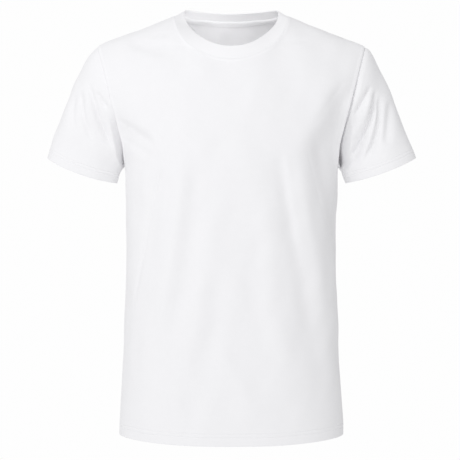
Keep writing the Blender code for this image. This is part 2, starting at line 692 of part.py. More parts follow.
def build():
    for obj in list(bpy.data.objects):
        bpy.data.objects.remove(obj)
    jersey = material("white jersey", (0.83, 0.84, 0.86), 0.85)
    rib = material("white rib", (0.84, 0.85, 0.87), 0.85)
    tape = material("white tape", (0.80, 0.81, 0.83), 0.90)
    back = panel("back_panel", BACK, BACK_FOLDS)
    pieces = [
        panel("front_panel", FRONT, FRONT_FOLDS),
        back,
        sleeve("left_sleeve", 1, 0.0052, LEFT_SLEEVE_FRONT_FOLDS, SLEEVE_BACK_FOLDS),
        sleeve("right_sleeve", -1, 0.0072, mirrored(RIGHT_SLEEVE_FRONT_FOLDS), mirrored(SLEEVE_BACK_FOLDS)),
        neck_rib(),
    ]
    seams = seam_table(pieces)
    for piece in pieces:
        piece.on_seam = [piece.key(index) in seams for index in range(len(piece.points))]
        outer, inner = wall(piece, seams)
        add_object(piece.name, *solid(piece, outer, inner), rib if piece.name == "neck_rib" else jersey)
        if piece is back:
            strip = neck_tape(back, inner)
    strip.on_seam = [False] * len(strip.points)
    outer, inner = wall(strip, {})
    add_object(strip.name, *solid(strip, outer, inner), tape)


if __name__ == "__main__":
    build()
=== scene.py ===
"""A crew neck t-shirt in its worn shape, sewn from knitted cloth, in a bright studio.

Each cut piece is a thin shell on the smooth form of a general figure. Its folds, seams, hems and
stitching are worked out on that form in metres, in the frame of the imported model: +Z up, the front
faces -Y, the wearer's left is +X, and the origin is where the wearer carries the garment.
"""

import logging
import math
from collections.abc import Callable, Sequence
from dataclasses import dataclass, field
from enum import Enum
from functools import cache

import bpy
import numpy as np
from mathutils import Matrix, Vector
from mathutils.bvhtree import BVHTree
from numpy.typing import NDArray

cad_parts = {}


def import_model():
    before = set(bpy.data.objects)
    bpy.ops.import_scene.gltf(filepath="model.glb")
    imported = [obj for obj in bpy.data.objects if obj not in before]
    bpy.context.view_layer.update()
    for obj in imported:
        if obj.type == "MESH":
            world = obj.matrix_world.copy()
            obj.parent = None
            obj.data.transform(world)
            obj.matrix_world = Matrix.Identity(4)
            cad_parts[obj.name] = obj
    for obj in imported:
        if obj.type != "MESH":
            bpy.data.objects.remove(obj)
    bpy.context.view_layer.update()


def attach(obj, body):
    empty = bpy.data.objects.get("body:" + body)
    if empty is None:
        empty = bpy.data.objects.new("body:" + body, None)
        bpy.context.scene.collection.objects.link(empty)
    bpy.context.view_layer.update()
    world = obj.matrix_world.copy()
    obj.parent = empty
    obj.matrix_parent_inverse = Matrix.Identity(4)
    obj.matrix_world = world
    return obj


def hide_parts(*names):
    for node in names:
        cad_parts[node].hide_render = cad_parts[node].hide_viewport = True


Floats = NDArray[np.float64]
Ints = NDArray[np.int_]
Quad = tuple[int, int, int, int]
Pair = tuple[float, float]
Triple = tuple[float, float, float]
Socket = bpy.types.NodeSocket
Material = bpy.types.Material
Object = bpy.types.Object

BODY = "root"
DOUBLED = "doubled"  # the mesh attribute that tells where the cloth lies double
LOG = logging.getLogger("tshirt")

AT_ONCE = 4096  # points whose distances to a line are measured in one go
LONGEST_STEP = 0.006  # more than there is between two corners of a seam
FINE = 600  # places on a line before it is divided evenly
SAME_PLACE = 1e6  # points that agree to a micrometre are in one place
LINE, FLANKS = 0.55, 0.45  # what each of them has of a pinched fold's height
EARLY, LATE = 0.15, 0.10  # how far a fold has grown where it starts, and is left where it ends


# ---- Curves and measures ----
class Curve:
    """A smooth curve through the rows of a table, which never overshoots a row."""

    def __init__(self, keys: Sequence[float], values: Sequence[float]) -> None:
        """Fits the curve.

        Args:
            keys: Where each row stands, all rising or all falling.
            values: What the curve reads there.
        """
        order = np.argsort(keys)
        self.keys: Floats = np.asarray(keys, float)[order]
        self.values: Floats = np.asarray(values, float)[order]
        self.steps: Floats = np.diff(self.keys)
        slopes = np.diff(self.values) / self.steps
        self.tangents: Floats = np.zeros_like(self.values)
        self.tangents[0], self.tangents[-1] = slopes[0], slopes[-1]
        near = 2 * self.steps[1:] + self.steps[:-1]
        far = self.steps[1:] + 2 * self.steps[:-1]
        with np.errstate(divide="ignore", invalid="ignore"):
            mean = (near + far) / (near / slopes[:-1] + far / slopes[1:])
        self.tangents[1:-1] = np.where(slopes[:-1] * slopes[1:] > 0, mean, 0)

    def __call__(self, at: Floats | float) -> Floats:
        """Reads the curve, held level past its ends.

        Args:
            at: Where to read it.

        Returns:
            The values there.
        """
        at = np.clip(at, self.keys[0], self.keys[-1])
        i = np.clip(np.searchsorted(self.keys, at) - 1, 0, len(self.steps) - 1)
        step = self.steps[i]
        t = (at - self.keys[i]) / step
        return (
            (1 + 2 * t) * (1 - t) ** 2 * self.values[i]
            + t * (1 - t) ** 2 * step * self.tangents[i]
            + t**2 * (3 - 2 * t) * self.values[i + 1]
            - t**2 * (1 - t) * step * self.tangents[i + 1]
        )


def ease(t: Floats | float) -> Floats:
    """0 before 0, 1 after 1, and a smooth step between."""
    t = np.clip(t, 0, 1)
    return t * t * (3 - 2 * t)


def bell(t: Floats | float) -> Floats:
    """1 at 0, falling smoothly to nothing by about 2 on either side."""
    return np.exp(-np.square(t))


def unit(vectors: Floats) -> Floats:
    """The same vectors with length 1."""
    return vectors / np.linalg.norm(vectors, axis=-1, keepdims=True)


def run_lengths(line: Floats) -> Floats:
    """How far along a line of points each of them lies."""
    return np.concatenate([[0], np.cumsum(np.linalg.norm(np.diff(line, axis=0), axis=1))])


def even_shares(line: Floats, count: int) -> Floats:
    """Places on a line of points, as shares of its list, that divide its length evenly."""
    lengths = run_lengths(line)
    return np.interp(np.linspace(0, lengths[-1], count + 1), lengths, np.linspace(0, 1, len(line)))


def distance_to_line(points: Floats, line: Floats, reach: float) -> Floats:
    """How far each point is from a line of points.

    Args:
        points: The points, one a row.
        line: The line's corners, in order.
        reach: Beyond this distance the answer may be rough.

    Returns:
        One distance for each point.
    """
    rough = np.full(len(points), np.inf)
    for start in range(0, len(points), AT_ONCE):
        part = points[start : start + AT_ONCE]
        to_corners = np.linalg.norm(part[:, None] - line[None], axis=2).min(axis=1)
        rough[start : start + AT_ONCE] = to_corners
    near = np.flatnonzero(rough < reach + LONGEST_STEP)
    begin, along = line[:-1], np.diff(line, axis=0)
    offset = points[near][:, None] - begin[None]
    square = np.maximum((along**2).sum(axis=1), 1e-12)
    share = np.clip((offset * along).sum(axis=2) / square, 0, 1)
    rough[near] = np.linalg.norm(offset - share[..., None] * along[None], axis=2).min(axis=1)
    return rough


# ---- Folds ----
class FoldShape(Enum):
    """How the cloth rises across a fold."""

    ROUND = "a soft roll or trough"
    PINCHED = "a narrow line between soft flanks"


@dataclass(frozen=True)
class Fold:
    """A fold that runs down the cloth, as seen from the front.

    Attributes:
        start: Its upper end, (x, z).
        end: Its lower end, (x, z).
        widths: How wide it is to either side at its two ends.
        rise: How high it stands; a trough is negative.
        bow: How far its middle is bowed aside, towards -X on a fold that runs down.
        shape: How the cloth rises across it.
        fades: The shares of its length over which it grows and dies away.
    """

    start: Pair
    end: Pair
    widths: Pair
    rise: float
    bow: float = 0.0
    shape: FoldShape = FoldShape.ROUND
    fades: Pair = (0.22, 0.40)

    def height(self, x: Floats, z: Floats) -> Floats:
        """How far the fold moves the cloth out at each place.

        Args:
            x: The places' x.
            z: Their heights.

        Returns:
            One amount for each.
        """
        start = np.array(self.start)
        along = np.array(self.end) - start
        length = float(np.linalg.norm(along))
        along = along / length
        dx, dz = x - start[0], z - start[1]
        share = (dx * along[0] + dz * along[1]) / length
        aside = dx * along[1] - dz * along[0] - self.bow * 4 * share * (1 - share)
        width = self.widths[0] + (self.widths[1] - self.widths[0]) * np.clip(share, 0, 1)
        ends = ease(share / self.fades[0] + EARLY) * ease((1 - share) / self.fades[1] + LATE)
        return self.rise * ends * self._profile(aside / width)

    def _profile(self, aside: Floats) -> Floats:
        """The fold's section, 1 high, over a distance in half widths.

        Args:
            aside: The distances.

        Returns:
            One share of the rise for each.
        """
        if self.shape is FoldShape.PINCHED:
            ridge = np.exp(-2.2 * (np.sqrt(aside**2 + 0.03) - 0.17))
            return LINE * ridge + FLANKS * bell(aside)
        return bell(aside)


@dataclass(frozen=True)
class Ripple:
    """The small uneven waves that worn cloth keeps all over.

    Attributes:
        upright: How much of a wave's way is up or down.
        gain: What the waves' height is multiplied by, as they mostly cancel out.
    """

    seed: int
    height: float = 0.00028
    longest: float = 0.110
    shortest: float = 0.030
    count: int = 26
    upright: float = 0.55
    gain: float = 1.6

    def height_at(self, points: Floats) -> Floats:
        """How far the ripple moves the cloth out at each point.

        Args:
            points: The points.

        Returns:
            One amount for each.
        """
        rng = np.random.default_rng(self.seed)
        total = np.zeros(len(points))
        for _ in range(self.count):
            length = rng.uniform(self.shortest, self.longest)
            way = unit(rng.normal(size=3) * (1.0, 1.0, self.upright))
            turn = rng.uniform(0, 2 * math.pi)
            size = self.height * length / self.longest * self.gain
            total += size * np.sin(points @ way * (2 * math.pi / length) + turn)
        return total


# ---- The figure under the cloth ----
@dataclass(frozen=True)
class Face:
    """What tells the front of the body's form from its back.

    Attributes:
        sign: -1 for the front and 1 for the back.
        full_level: The height where it stands furthest out.
        hem_droop: How much lower the hem hangs in its middle than at the sides.
        neck_turn: How far down its curve the neck seam lies in the middle.
        neck_power: How square the neck seam's curve is; less is squarer.
    """

    sign: int
    full_level: float
    hem_droop: float
    neck_turn: float
    neck_power: float


FRONT = Face(-1, -0.285, 0.0074, math.radians(50.6), 0.62)
BACK = Face(1, -0.150, 0.0020, math.radians(33.8), 0.85)


@dataclass(frozen=True)
class Figure:
    """The smooth form that the body of the garment takes.

    A place on it has a turn, 0 in the middle and 90 degrees at the side, and a fall: 0 on the
    shoulder line, 1 where the face stands furthest out, and more below.

    Attributes:
        rounds: How often a point's x and height are worked out from each other.
        rounder: How much rounder it goes over the shoulder point than in the middle.
    """

    hem_level: float = -0.7165
    underarm_level: float = -0.261
    shoulder_half: float = 0.228
    neck_half: float = 0.0965
    section_power: float = 2.4
    fall_step: float = 0.42
    rounds: int = 12
    rounder: float = 0.35
    ridge: tuple[Triple, ...] = (  # x, y, z along the top of the shoulders
        (-0.040, 0.018, 0.0220),
        (0.000, 0.020, 0.0270),
        (0.040, 0.018, 0.0220),
        (0.073, 0.014, 0.0080),
        (0.094, 0.010, -0.0010),
        (0.140, 0.005, -0.0205),
        (0.180, 0.001, -0.0357),
        (0.218, 0.000, -0.0516),
        (0.228, 0.000, -0.0570),
        (0.260, 0.000, -0.0770),
    )
    sections: tuple[tuple[float, float, float, float], ...] = (
        # level, half width, front depth, back depth
        (0.030, 0.252, 0.1180, 0.1120),
        (-0.057, 0.250, 0.1180, 0.1120),
        (-0.110, 0.244, 0.1180, 0.1120),
        (-0.157, 0.229, 0.1180, 0.1120),
        (-0.197, 0.208, 0.1180, 0.1118),
        (-0.235, 0.1895, 0.1180, 0.1110),
        (-0.261, 0.1822, 0.1180, 0.1100),
        (-0.300, 0.1810, 0.1180, 0.1078),
        (-0.345, 0.1798, 0.1165, 0.1045),
        (-0.395, 0.1790, 0.1140, 0.1010),
        (-0.447, 0.1797, 0.1120, 0.0990),
        (-0.500, 0.1815, 0.1105, 0.0985),
        (-0.550, 0.1832, 0.1098, 0.0992),
        (-0.601, 0.1850, 0.1100, 0.1005),
        (-0.653, 0.1876, 0.1110, 0.1022),
        (-0.704, 0.1910, 0.1122, 0.1038),
        (-0.730, 0.1920, 0.1125, 0.1042),
    )
    armhole: tuple[Triple, ...] = (  # level, x at the front, x at the back
        (-0.0570, 0.2280, 0.2280),
        (-0.0850, 0.2195, 0.2215),
        (-0.1160, 0.2108, 0.2145),
        (-0.1560, 0.2010, 0.2060),
        (-0.1970, 0.1907, 0.1955),
        (-0.2350, 0.1830, 0.1855),
        (-0.2610, 0.1822, 0.1822),
    )

    def _column(self, table: tuple[tuple[float, ...], ...], column: int) -> Curve:
        """One column of a table, over the first."""
        return Curve([row[0] for row in table], [row[column] for row in table])

    def half_width(self, z: Floats) -> Floats:
        """Half the width of the form at a height."""
        return self._column(self.sections, 1)(z)

    def depth(self, face: Face, z: Floats) -> Floats:
        """How far the middle of a face stands from the side seams' plane at a height."""
        return self._column(self.sections, 2 if face is FRONT else 3)(z)

    def _ridge_y(self, x: Floats) -> Floats:
        """How far back the top of the shoulders lies at x."""
        return self._column(self.ridge, 1)(np.abs(x))

    def _ridge_z(self, x: Floats) -> Floats:
        """The height of the top of the shoulders at x."""
        return self._column(self.ridge, 2)(np.abs(x))

    def height(self, face: Face, x: Floats, fall: Floats) -> Floats:
        """The height of the form at x and a fall.

        Args:
            face: The front or the back.
            x: The places' x.
            fall: Their falls.

        Returns:
            One height for each.
        """
        top = self._ridge_z(x)
        angle = np.clip(fall, 0, 1) * math.pi / 2
        upper = face.full_level + (top - face.full_level) * np.cos(angle)
        return upper - np.clip(fall - 1, 0, None) * self.fall_step

    def fall(self, face: Face, x: Floats, z: Floats) -> Floats:
        """The fall of the form's point at x and z.

        Args:
            face: The front or the back.
            x: The points' x.
            z: Their heights.

        Returns:
            One fall for each.
        """
        top = self._ridge_z(x)
        share = np.clip((z - face.full_level) / (top - face.full_level), 0, 1)
        below = 1 + (face.full_level - z) / self.fall_step
        return np.where(z < face.full_level, below, np.arccos(share) * 2 / math.pi)

    def turn(self, x: Floats, z: Floats) -> Floats:
        """The turn of the form's point at x and z."""
        share = np.clip(np.abs(x) / self.half_width(z), 0, 1)
        return np.arcsin(share ** (self.section_power / 2))

    def point(self, face: Face, turn: Floats, fall: Floats) -> Floats:
        """The points of the form at turns and falls, on the wearer's left.

        Args:
            face: The front or the back.
            turn: The turns.
            fall: The falls.

        Returns:
            One point for each.
        """
        share = np.sin(turn) ** (2 / self.section_power)
        x = share * self.shoulder_half
        z = self.height(face, x, fall)
        # The half width depends on the height, which depends a little on x.
        for _ in range(self.rounds):
            x = share * self.half_width(z)
            z = self.height(face, x, fall)
        across = (
            np.clip(1 - np.abs(x / self.half_width(z)) ** self.section_power, 0, 1)
            ** (1 / self.section_power)
        )
        angle = np.clip(fall, 0, 1) * math.pi / 2
        depth = face.sign * self.depth(face, np.where(fall > 1, z, face.full_level))
        ridge = self._ridge_y(x) * np.cos(angle)
        power = 1 - self.rounder * np.clip(np.abs(x) / self.shoulder_half, 0, 1) ** 2
        y = ridge + (depth - ridge) * np.sin(angle) ** power * across
        return np.stack([x, y, z], axis=-1)

    def armhole_places(self, face: Face, count: int) -> tuple[Floats, Floats]:
        """Turns and falls of the armhole's points, from the underarm to the shoulder point.

        Args:
            face: The front or the back.
            count: How many steps there are.

        Returns:
            The turns, and the falls.
        """
        column = self._column(self.armhole, 1 if face is FRONT else 2)

        def at(share: Floats) -> tuple[Floats, Floats]:
            """Turns and falls at shares of the way up.

            Args:
                share: The shares.

            Returns:
                The turns, and the falls.
            """
            top = self.armhole[0][0]
            middle, half = (top + self.underarm_level) / 2, (top - self.underarm_level) / 2
            z = middle - half * np.cos(share * math.pi)
            x = column(z)
            return self.turn(x, z), self.fall(face, x, z)

        line = self.point(face, *at(np.linspace(0, 1, FINE)))
        return at(even_shares(line, count))

    def neck_places(self, face: Face, count: int) -> tuple[Floats, Floats]:
        """Turns and falls of the neck seam's points, from the middle to the shoulder seam.

        Args:
            face: The front or the back.
            count: How many steps there are.

        Returns:
            The turns, and the falls.
        """

        def at(share: Floats) -> tuple[Floats, Floats]:
            """Turns and falls at shares of the quarter round from the middle.

            Args:
                share: The shares.

            Returns:
                The turns, and the falls.
            """
            angle = share * math.pi / 2
            x = self.neck_half * np.sin(angle)
            fall = face.neck_turn * np.clip(np.cos(angle), 0, 1) ** face.neck_power * 2 / math.pi
            return self.turn(x, self.height(face, x, fall)), fall

        shares = 1 - np.linspace(1, 0, FINE) ** 2  # closer together near the shoulder seam
        line = self.point(face, *at(shares))
        return at(np.interp(even_shares(line, count), np.linspace(0, 1, FINE), shares))


# ---- Cloth ----
@dataclass(frozen=True)
class HemStitching:
    """Two rows of stitches that hold a turned-up hem.

    Attributes:
        height: How high the cloth is turned up.
        rows: The heights of the rows of stitches over the lower edge.
        bite: How deep the stitches pull the cloth in.
        tunnel: How far the cloth stands up between the rows.
        bite_reach: How far beside a row they pull it.
        tunnel_reach: How far beside the middle the tunnel stands up.
        over: The ridge over the upper row: its share of the tunnel's rise, how far up it lies, and
            its reach.
        under: The same under the lower row.
    """

    height: float
    rows: Pair
    bite: float = 0.00042
    tunnel: float = 0.00025
    bite_reach: float = 0.0009
    tunnel_reach: float = 0.0019
    over: Triple = (0.6, 0.0028, 0.0016)
    under: Triple = (0.5, 0.0032, 0.0022)

    def levels(self) -> list[float]:
        """Heights over the lower edge that a grid needs to show the stitching.

        Returns:
            The heights, rising.
        """
        near = [-0.0016, -0.0009, -0.0004, 0.0, 0.0004, 0.0009, 0.0016]
        low, high = self.rows
        inside = [0.0, 0.0007, 0.0018, 0.0035, 0.0060, 0.0085]
        levels = inside + [low + step for step in near] + [high + step for step in near]
        levels += [(low + high) / 2, high + self.over[1]]
        return sorted(levels + [self.height + 0.0022, self.height + 0.0040])

    def relief(self, height: Floats) -> Floats:
        """How far the stitching moves the cloth out at a height over the lower edge.

        Args:
            height: The heights.

        Returns:
            One amount for each.
        """
        low, high = self.rows
        middle = (low + high) / 2
        pulled = bell((height - low) / self.bite_reach) + bell((height - high) / self.bite_reach)
        over_share, over, over_reach = self.over
        under_share, under, under_reach = self.under
        return (
            -self.bite * pulled
            + self.tunnel * bell((height - middle) / self.tunnel_reach)
            + over_share * self.tunnel * bell((height - high - over) / over_reach)
            + under_share * self.tunnel * bell((height - low + under) / under_reach)
        )


@dataclass
class Cloth:
    """One cut piece: its outer face as points and quads that face out, and its wall.

    Attributes:
        name: The piece's name in the scene.
        node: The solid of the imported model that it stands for.
        points: The outer face's points.
        quads: The outer face's quads, by numbers of points.
        walls: The cloth's thickness at each point.
        grain: Each point's place on the flat cloth, across and along the wales.
        folded_edges: Whether its free edges are folds, and so round.
        around: On a tube, how long the cloth is all round; 0 on a flat piece.
        doubled: Where a second layer lies behind the cloth, so that less light passes through.
        sink: How deep each point of a seam lies under the neighbour's.
        under: How far the piece's seams reach under its neighbours.
    """

    name: str
    node: str
    points: Floats
    quads: list[Quad]
    walls: Floats
    grain: Floats
    folded_edges: bool = True
    around: float = 0.0
    doubled: Floats = field(default_factory=lambda: np.zeros(0))
    sink: Floats = field(default_factory=lambda: np.zeros(0))
    under: float = 0.0

    def __post_init__(self) -> None:
        """Finds the edges that only one quad has."""
        if not len(self.sink):
            self.sink = np.zeros(len(self.points))
        if not len(self.doubled):
            self.doubled = np.zeros(len(self.points))
        uses = {(a, b) for q in self.quads for a, b in zip(q, q[1:] + q[:1])}
        self.rim: list[tuple[int, int]] = [(a, b) for a, b in uses if (b, a) not in uses]
        self.rim.sort()
        self.rim_points: list[int] = sorted({a for edge in self.rim for a in edge})

    def normals(self) -> Floats:
        """The way out of the garment at each point.

        Returns:
            One unit vector for each.
        """
        total = np.zeros_like(self.points)
        index = np.array(self.quads)
        corners = self.points[index]
        faces = np.cross(corners[:, 2] - corners[:, 0], corners[:, 3] - corners[:, 1])
        for corner in range(4):
            np.add.at(total, index[:, corner], faces)
        return unit(total)

    def key(self, index: int) -> tuple[int, ...]:
        """The same for the points of two pieces that stand in one place."""
        return tuple(np.round(self.points[index] * SAME_PLACE).astype(int))

    def move_out(self, amount: Floats) -> None:
        """Moves every point out along its normal."""
        self.points = self.points + self.normals() * amount[:, None]


@dataclass
class Seams:
    """The seams between pieces: where they meet, both end in one shared face.

    Attributes:
        gap: How far apart the pieces stand.
        most_mitre: The longest seam face, in wall thicknesses.
        edge_segments: How many facets round off a folded edge.
        edge_reach: How far a rounded edge bulges, in half thicknesses.
        least_turn: Keeps a corner of a seam from reaching too far.
        table: The places where pieces meet: the sum of their normals, and their number.
    """

    gap: float = 0.00010
    most_mitre: float = 1.6
    edge_segments: int = 5
    edge_reach: float = 0.9
    least_turn: float = 0.4
    table: dict[tuple[int, ...], tuple[Floats, int]] = field(default_factory=dict)

    def join(self, cloths: Sequence[Cloth]) -> None:
        """Notes each place where pieces meet, with the sum of their normals there.

        Args:
            cloths: All the pieces.
        """
        table: dict[tuple[int, ...], tuple[Floats, int]] = {}
        for cloth in cloths:
            normals = cloth.normals()
            for index in cloth.rim_points:
                total, count = table.get(cloth.key(index), (np.zeros(3), 0))
                table[cloth.key(index)] = (total + normals[index], count + 1)
        self.table = {key: entry for key, entry in table.items() if entry[1] > 1}

    def sewn(self, cloth: Cloth, index: int) -> bool:
        """Whether another piece meets this one at a point."""
        return cloth.key(index) in self.table

    def faces_of(self, cloth: Cloth) -> tuple[Floats, Floats]:
        """A piece's outer and inner face, moved to its own side of its seams.

        Args:
            cloth: The piece.

        Returns:
            The outer points, and the inner ones.
        """
        ways = cloth.normals()
        depth = cloth.walls.copy()
        for index in cloth.rim_points:
            if self.sewn(cloth, index):
                total, count = self.table[cloth.key(index)]
                length = float(np.linalg.norm(total))
                ways[index] = total / length
                depth[index] *= min(count / length, self.most_mitre)
        centres = {
            edge: cloth.points[list(q)].mean(axis=0)
            for q in cloth.quads
            for edge in zip(q, q[1:] + q[:1])
        }
        sides: dict[int, list[Floats]] = {}
        for a, b in cloth.rim:
            if not (self.sewn(cloth, a) and self.sewn(cloth, b)):
                continue
            side = unit(np.cross(cloth.points[b] - cloth.points[a], ways[a] + ways[b]))
            if np.dot(side, centres[a, b] - cloth.points[a]) < 0:
                side = -side
            for index in (a, b):
                sides.setdefault(index, []).append(side)
        outer = cloth.points.copy()
        for index, found in sides.items():
            away = found[0] if len(found) == 1 else found[0] + found[1]
            if len(found) > 1:
                away = away / max(1 + float(np.dot(found[0], found[1])), self.least_turn)
            lap = cloth.under if cloth.sink[index] > 0 else 0.0
            outer[index] += away * (self.gap / 2 - lap)
        outer = outer - ways * cloth.sink[:, None]
        return outer, outer - ways * depth[:, None]

    def shell(self, cloth: Cloth, finish: Material) -> Object:
        """Makes a piece's closed shell.

        Args:
            cloth: The piece.
            finish: Its material.

        Returns:
            The object, riding on the body and standing for its solid.
        """
        outer, inner = self.faces_of(cloth)
        count = len(outer)
        points = [*outer, *inner]
        grain = [*cloth.grain, *cloth.grain]
        faces: list[Sequence[int]] = [list(q) for q in cloth.quads]
        faces += [[count + at for at in reversed(q)] for q in cloth.quads]
        rounds = self._edge_rounds(cloth, outer, inner, points, grain) if cloth.folded_edges else {}
        crisp: list[int] = []
        for a, b in cloth.rim:
            if a in rounds and b in rounds:
                ladder_a = [a, *rounds[a], count + a]
                ladder_b = [b, *rounds[b], count + b]
                for k in range(len(ladder_a) - 1):
                    faces.append([ladder_b[k], ladder_a[k], ladder_a[k + 1], ladder_b[k + 1]])
            else:
                near, far = rounds.get(a, []), rounds.get(b, [])
                crisp.append(len(faces))
                faces.append([b, a, *near, count + a, count + b, *reversed(far)])
        obj = add_mesh(cloth.name, np.array(points), faces, finish, np.array(grain), cloth.around)
        smooth = np.ones(len(faces), bool)
        smooth[crisp] = False
        obj.data.polygons.foreach_set("use_smooth", smooth)
        doubled = np.zeros(len(points))
        doubled[: 2 * count] = np.tile(cloth.doubled, 2)
        layer = obj.data.attributes.new(DOUBLED, "FLOAT", "POINT")
        layer.data.foreach_set("value", doubled.astype(np.float32))
        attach(obj, BODY)
        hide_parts(cloth.node)
        return obj

    def _edge_rounds(
        self,
        cloth: Cloth,
        outer: Floats,
        inner: Floats,
        points: list[Floats],
        grain: list[Floats],
    ) -> dict[int, list[int]]:
        """Adds the points that round off the free edges.

        Args:
            cloth: The piece.
            outer: Its outer points.
            inner: Its inner points.
            points: The shell's points, which grow.
            grain: Their places on the flat cloth, which grow too.

        Returns:
            The new points' numbers, by the edge point that they go round.
        """
        free = [e for e in cloth.rim if not (self.sewn(cloth, e[0]) and self.sewn(cloth, e[1]))]
        away: dict[int, Floats] = {}
        for a, b in free:
            out = unit(np.cross(outer[b] - outer[a], outer[a] - inner[a]))
            for index in (a, b):
                away[index] = away.get(index, np.zeros(3)) + out
        rounds: dict[int, list[int]] = {}
        for index, out in away.items():
            middle = (outer[index] + inner[index]) / 2
            arm = outer[index] - middle
            reach = unit(out) * np.linalg.norm(arm) * self.edge_reach
            rounds[index] = []
            for k in range(1, self.edge_segments):
                angle = math.pi * k / self.edge_segments
                rounds[index].append(len(points))
                points.append(middle + arm * math.cos(angle) + reach * math.sin(angle))
                grain.append(cloth.grain[index])
        return rounds


def add_mesh(
    name: str,
    points: Floats,
    faces: Sequence[Sequence[int]],
    finish: Material,
    grain: Floats | None = None,
    around: float = 0.0,
) -> Object:
    """Adds a smooth mesh to the scene, with its place on the flat cloth as its UV map.

    Args:
        name: The object's name.
        points: Its points.
        faces: Its faces, by numbers of points.
        finish: Its material.
        grain: Each point's place on the flat cloth.
        around: On a tube, how long the cloth is all round.

    Returns:
        The new object.
    """
    mesh = bpy.data.meshes.new(name)
    mesh.from_pydata(points.tolist(), [], faces)
    if grain is not None:
        corners = np.zeros(len(mesh.loops), np.int32)
        mesh.loops.foreach_get("vertex_index", corners)
        places = grain[corners]
        if around:  # the faces that close the tube end one round on
            begins = np.zeros(len(mesh.polygons), np.int32)
            mesh.polygons.foreach_get("loop_start", begins)
            face_of = np.repeat(np.arange(len(begins)), np.diff(np.append(begins, len(corners))))
            furthest = np.maximum.reduceat(places[:, 0], begins)[face_of]
            places[furthest - places[:, 0] > around / 2, 0] += around
        layer = mesh.uv_layers.new(name="grain")
        layer.uv.foreach_set("vector", places.astype(np.float32).ravel())
    mesh.shade_smooth()
    mesh.materials.append(finish)
    obj = bpy.data.objects.new(name, mesh)
    bpy.context.scene.collection.objects.link(obj)
    return obj


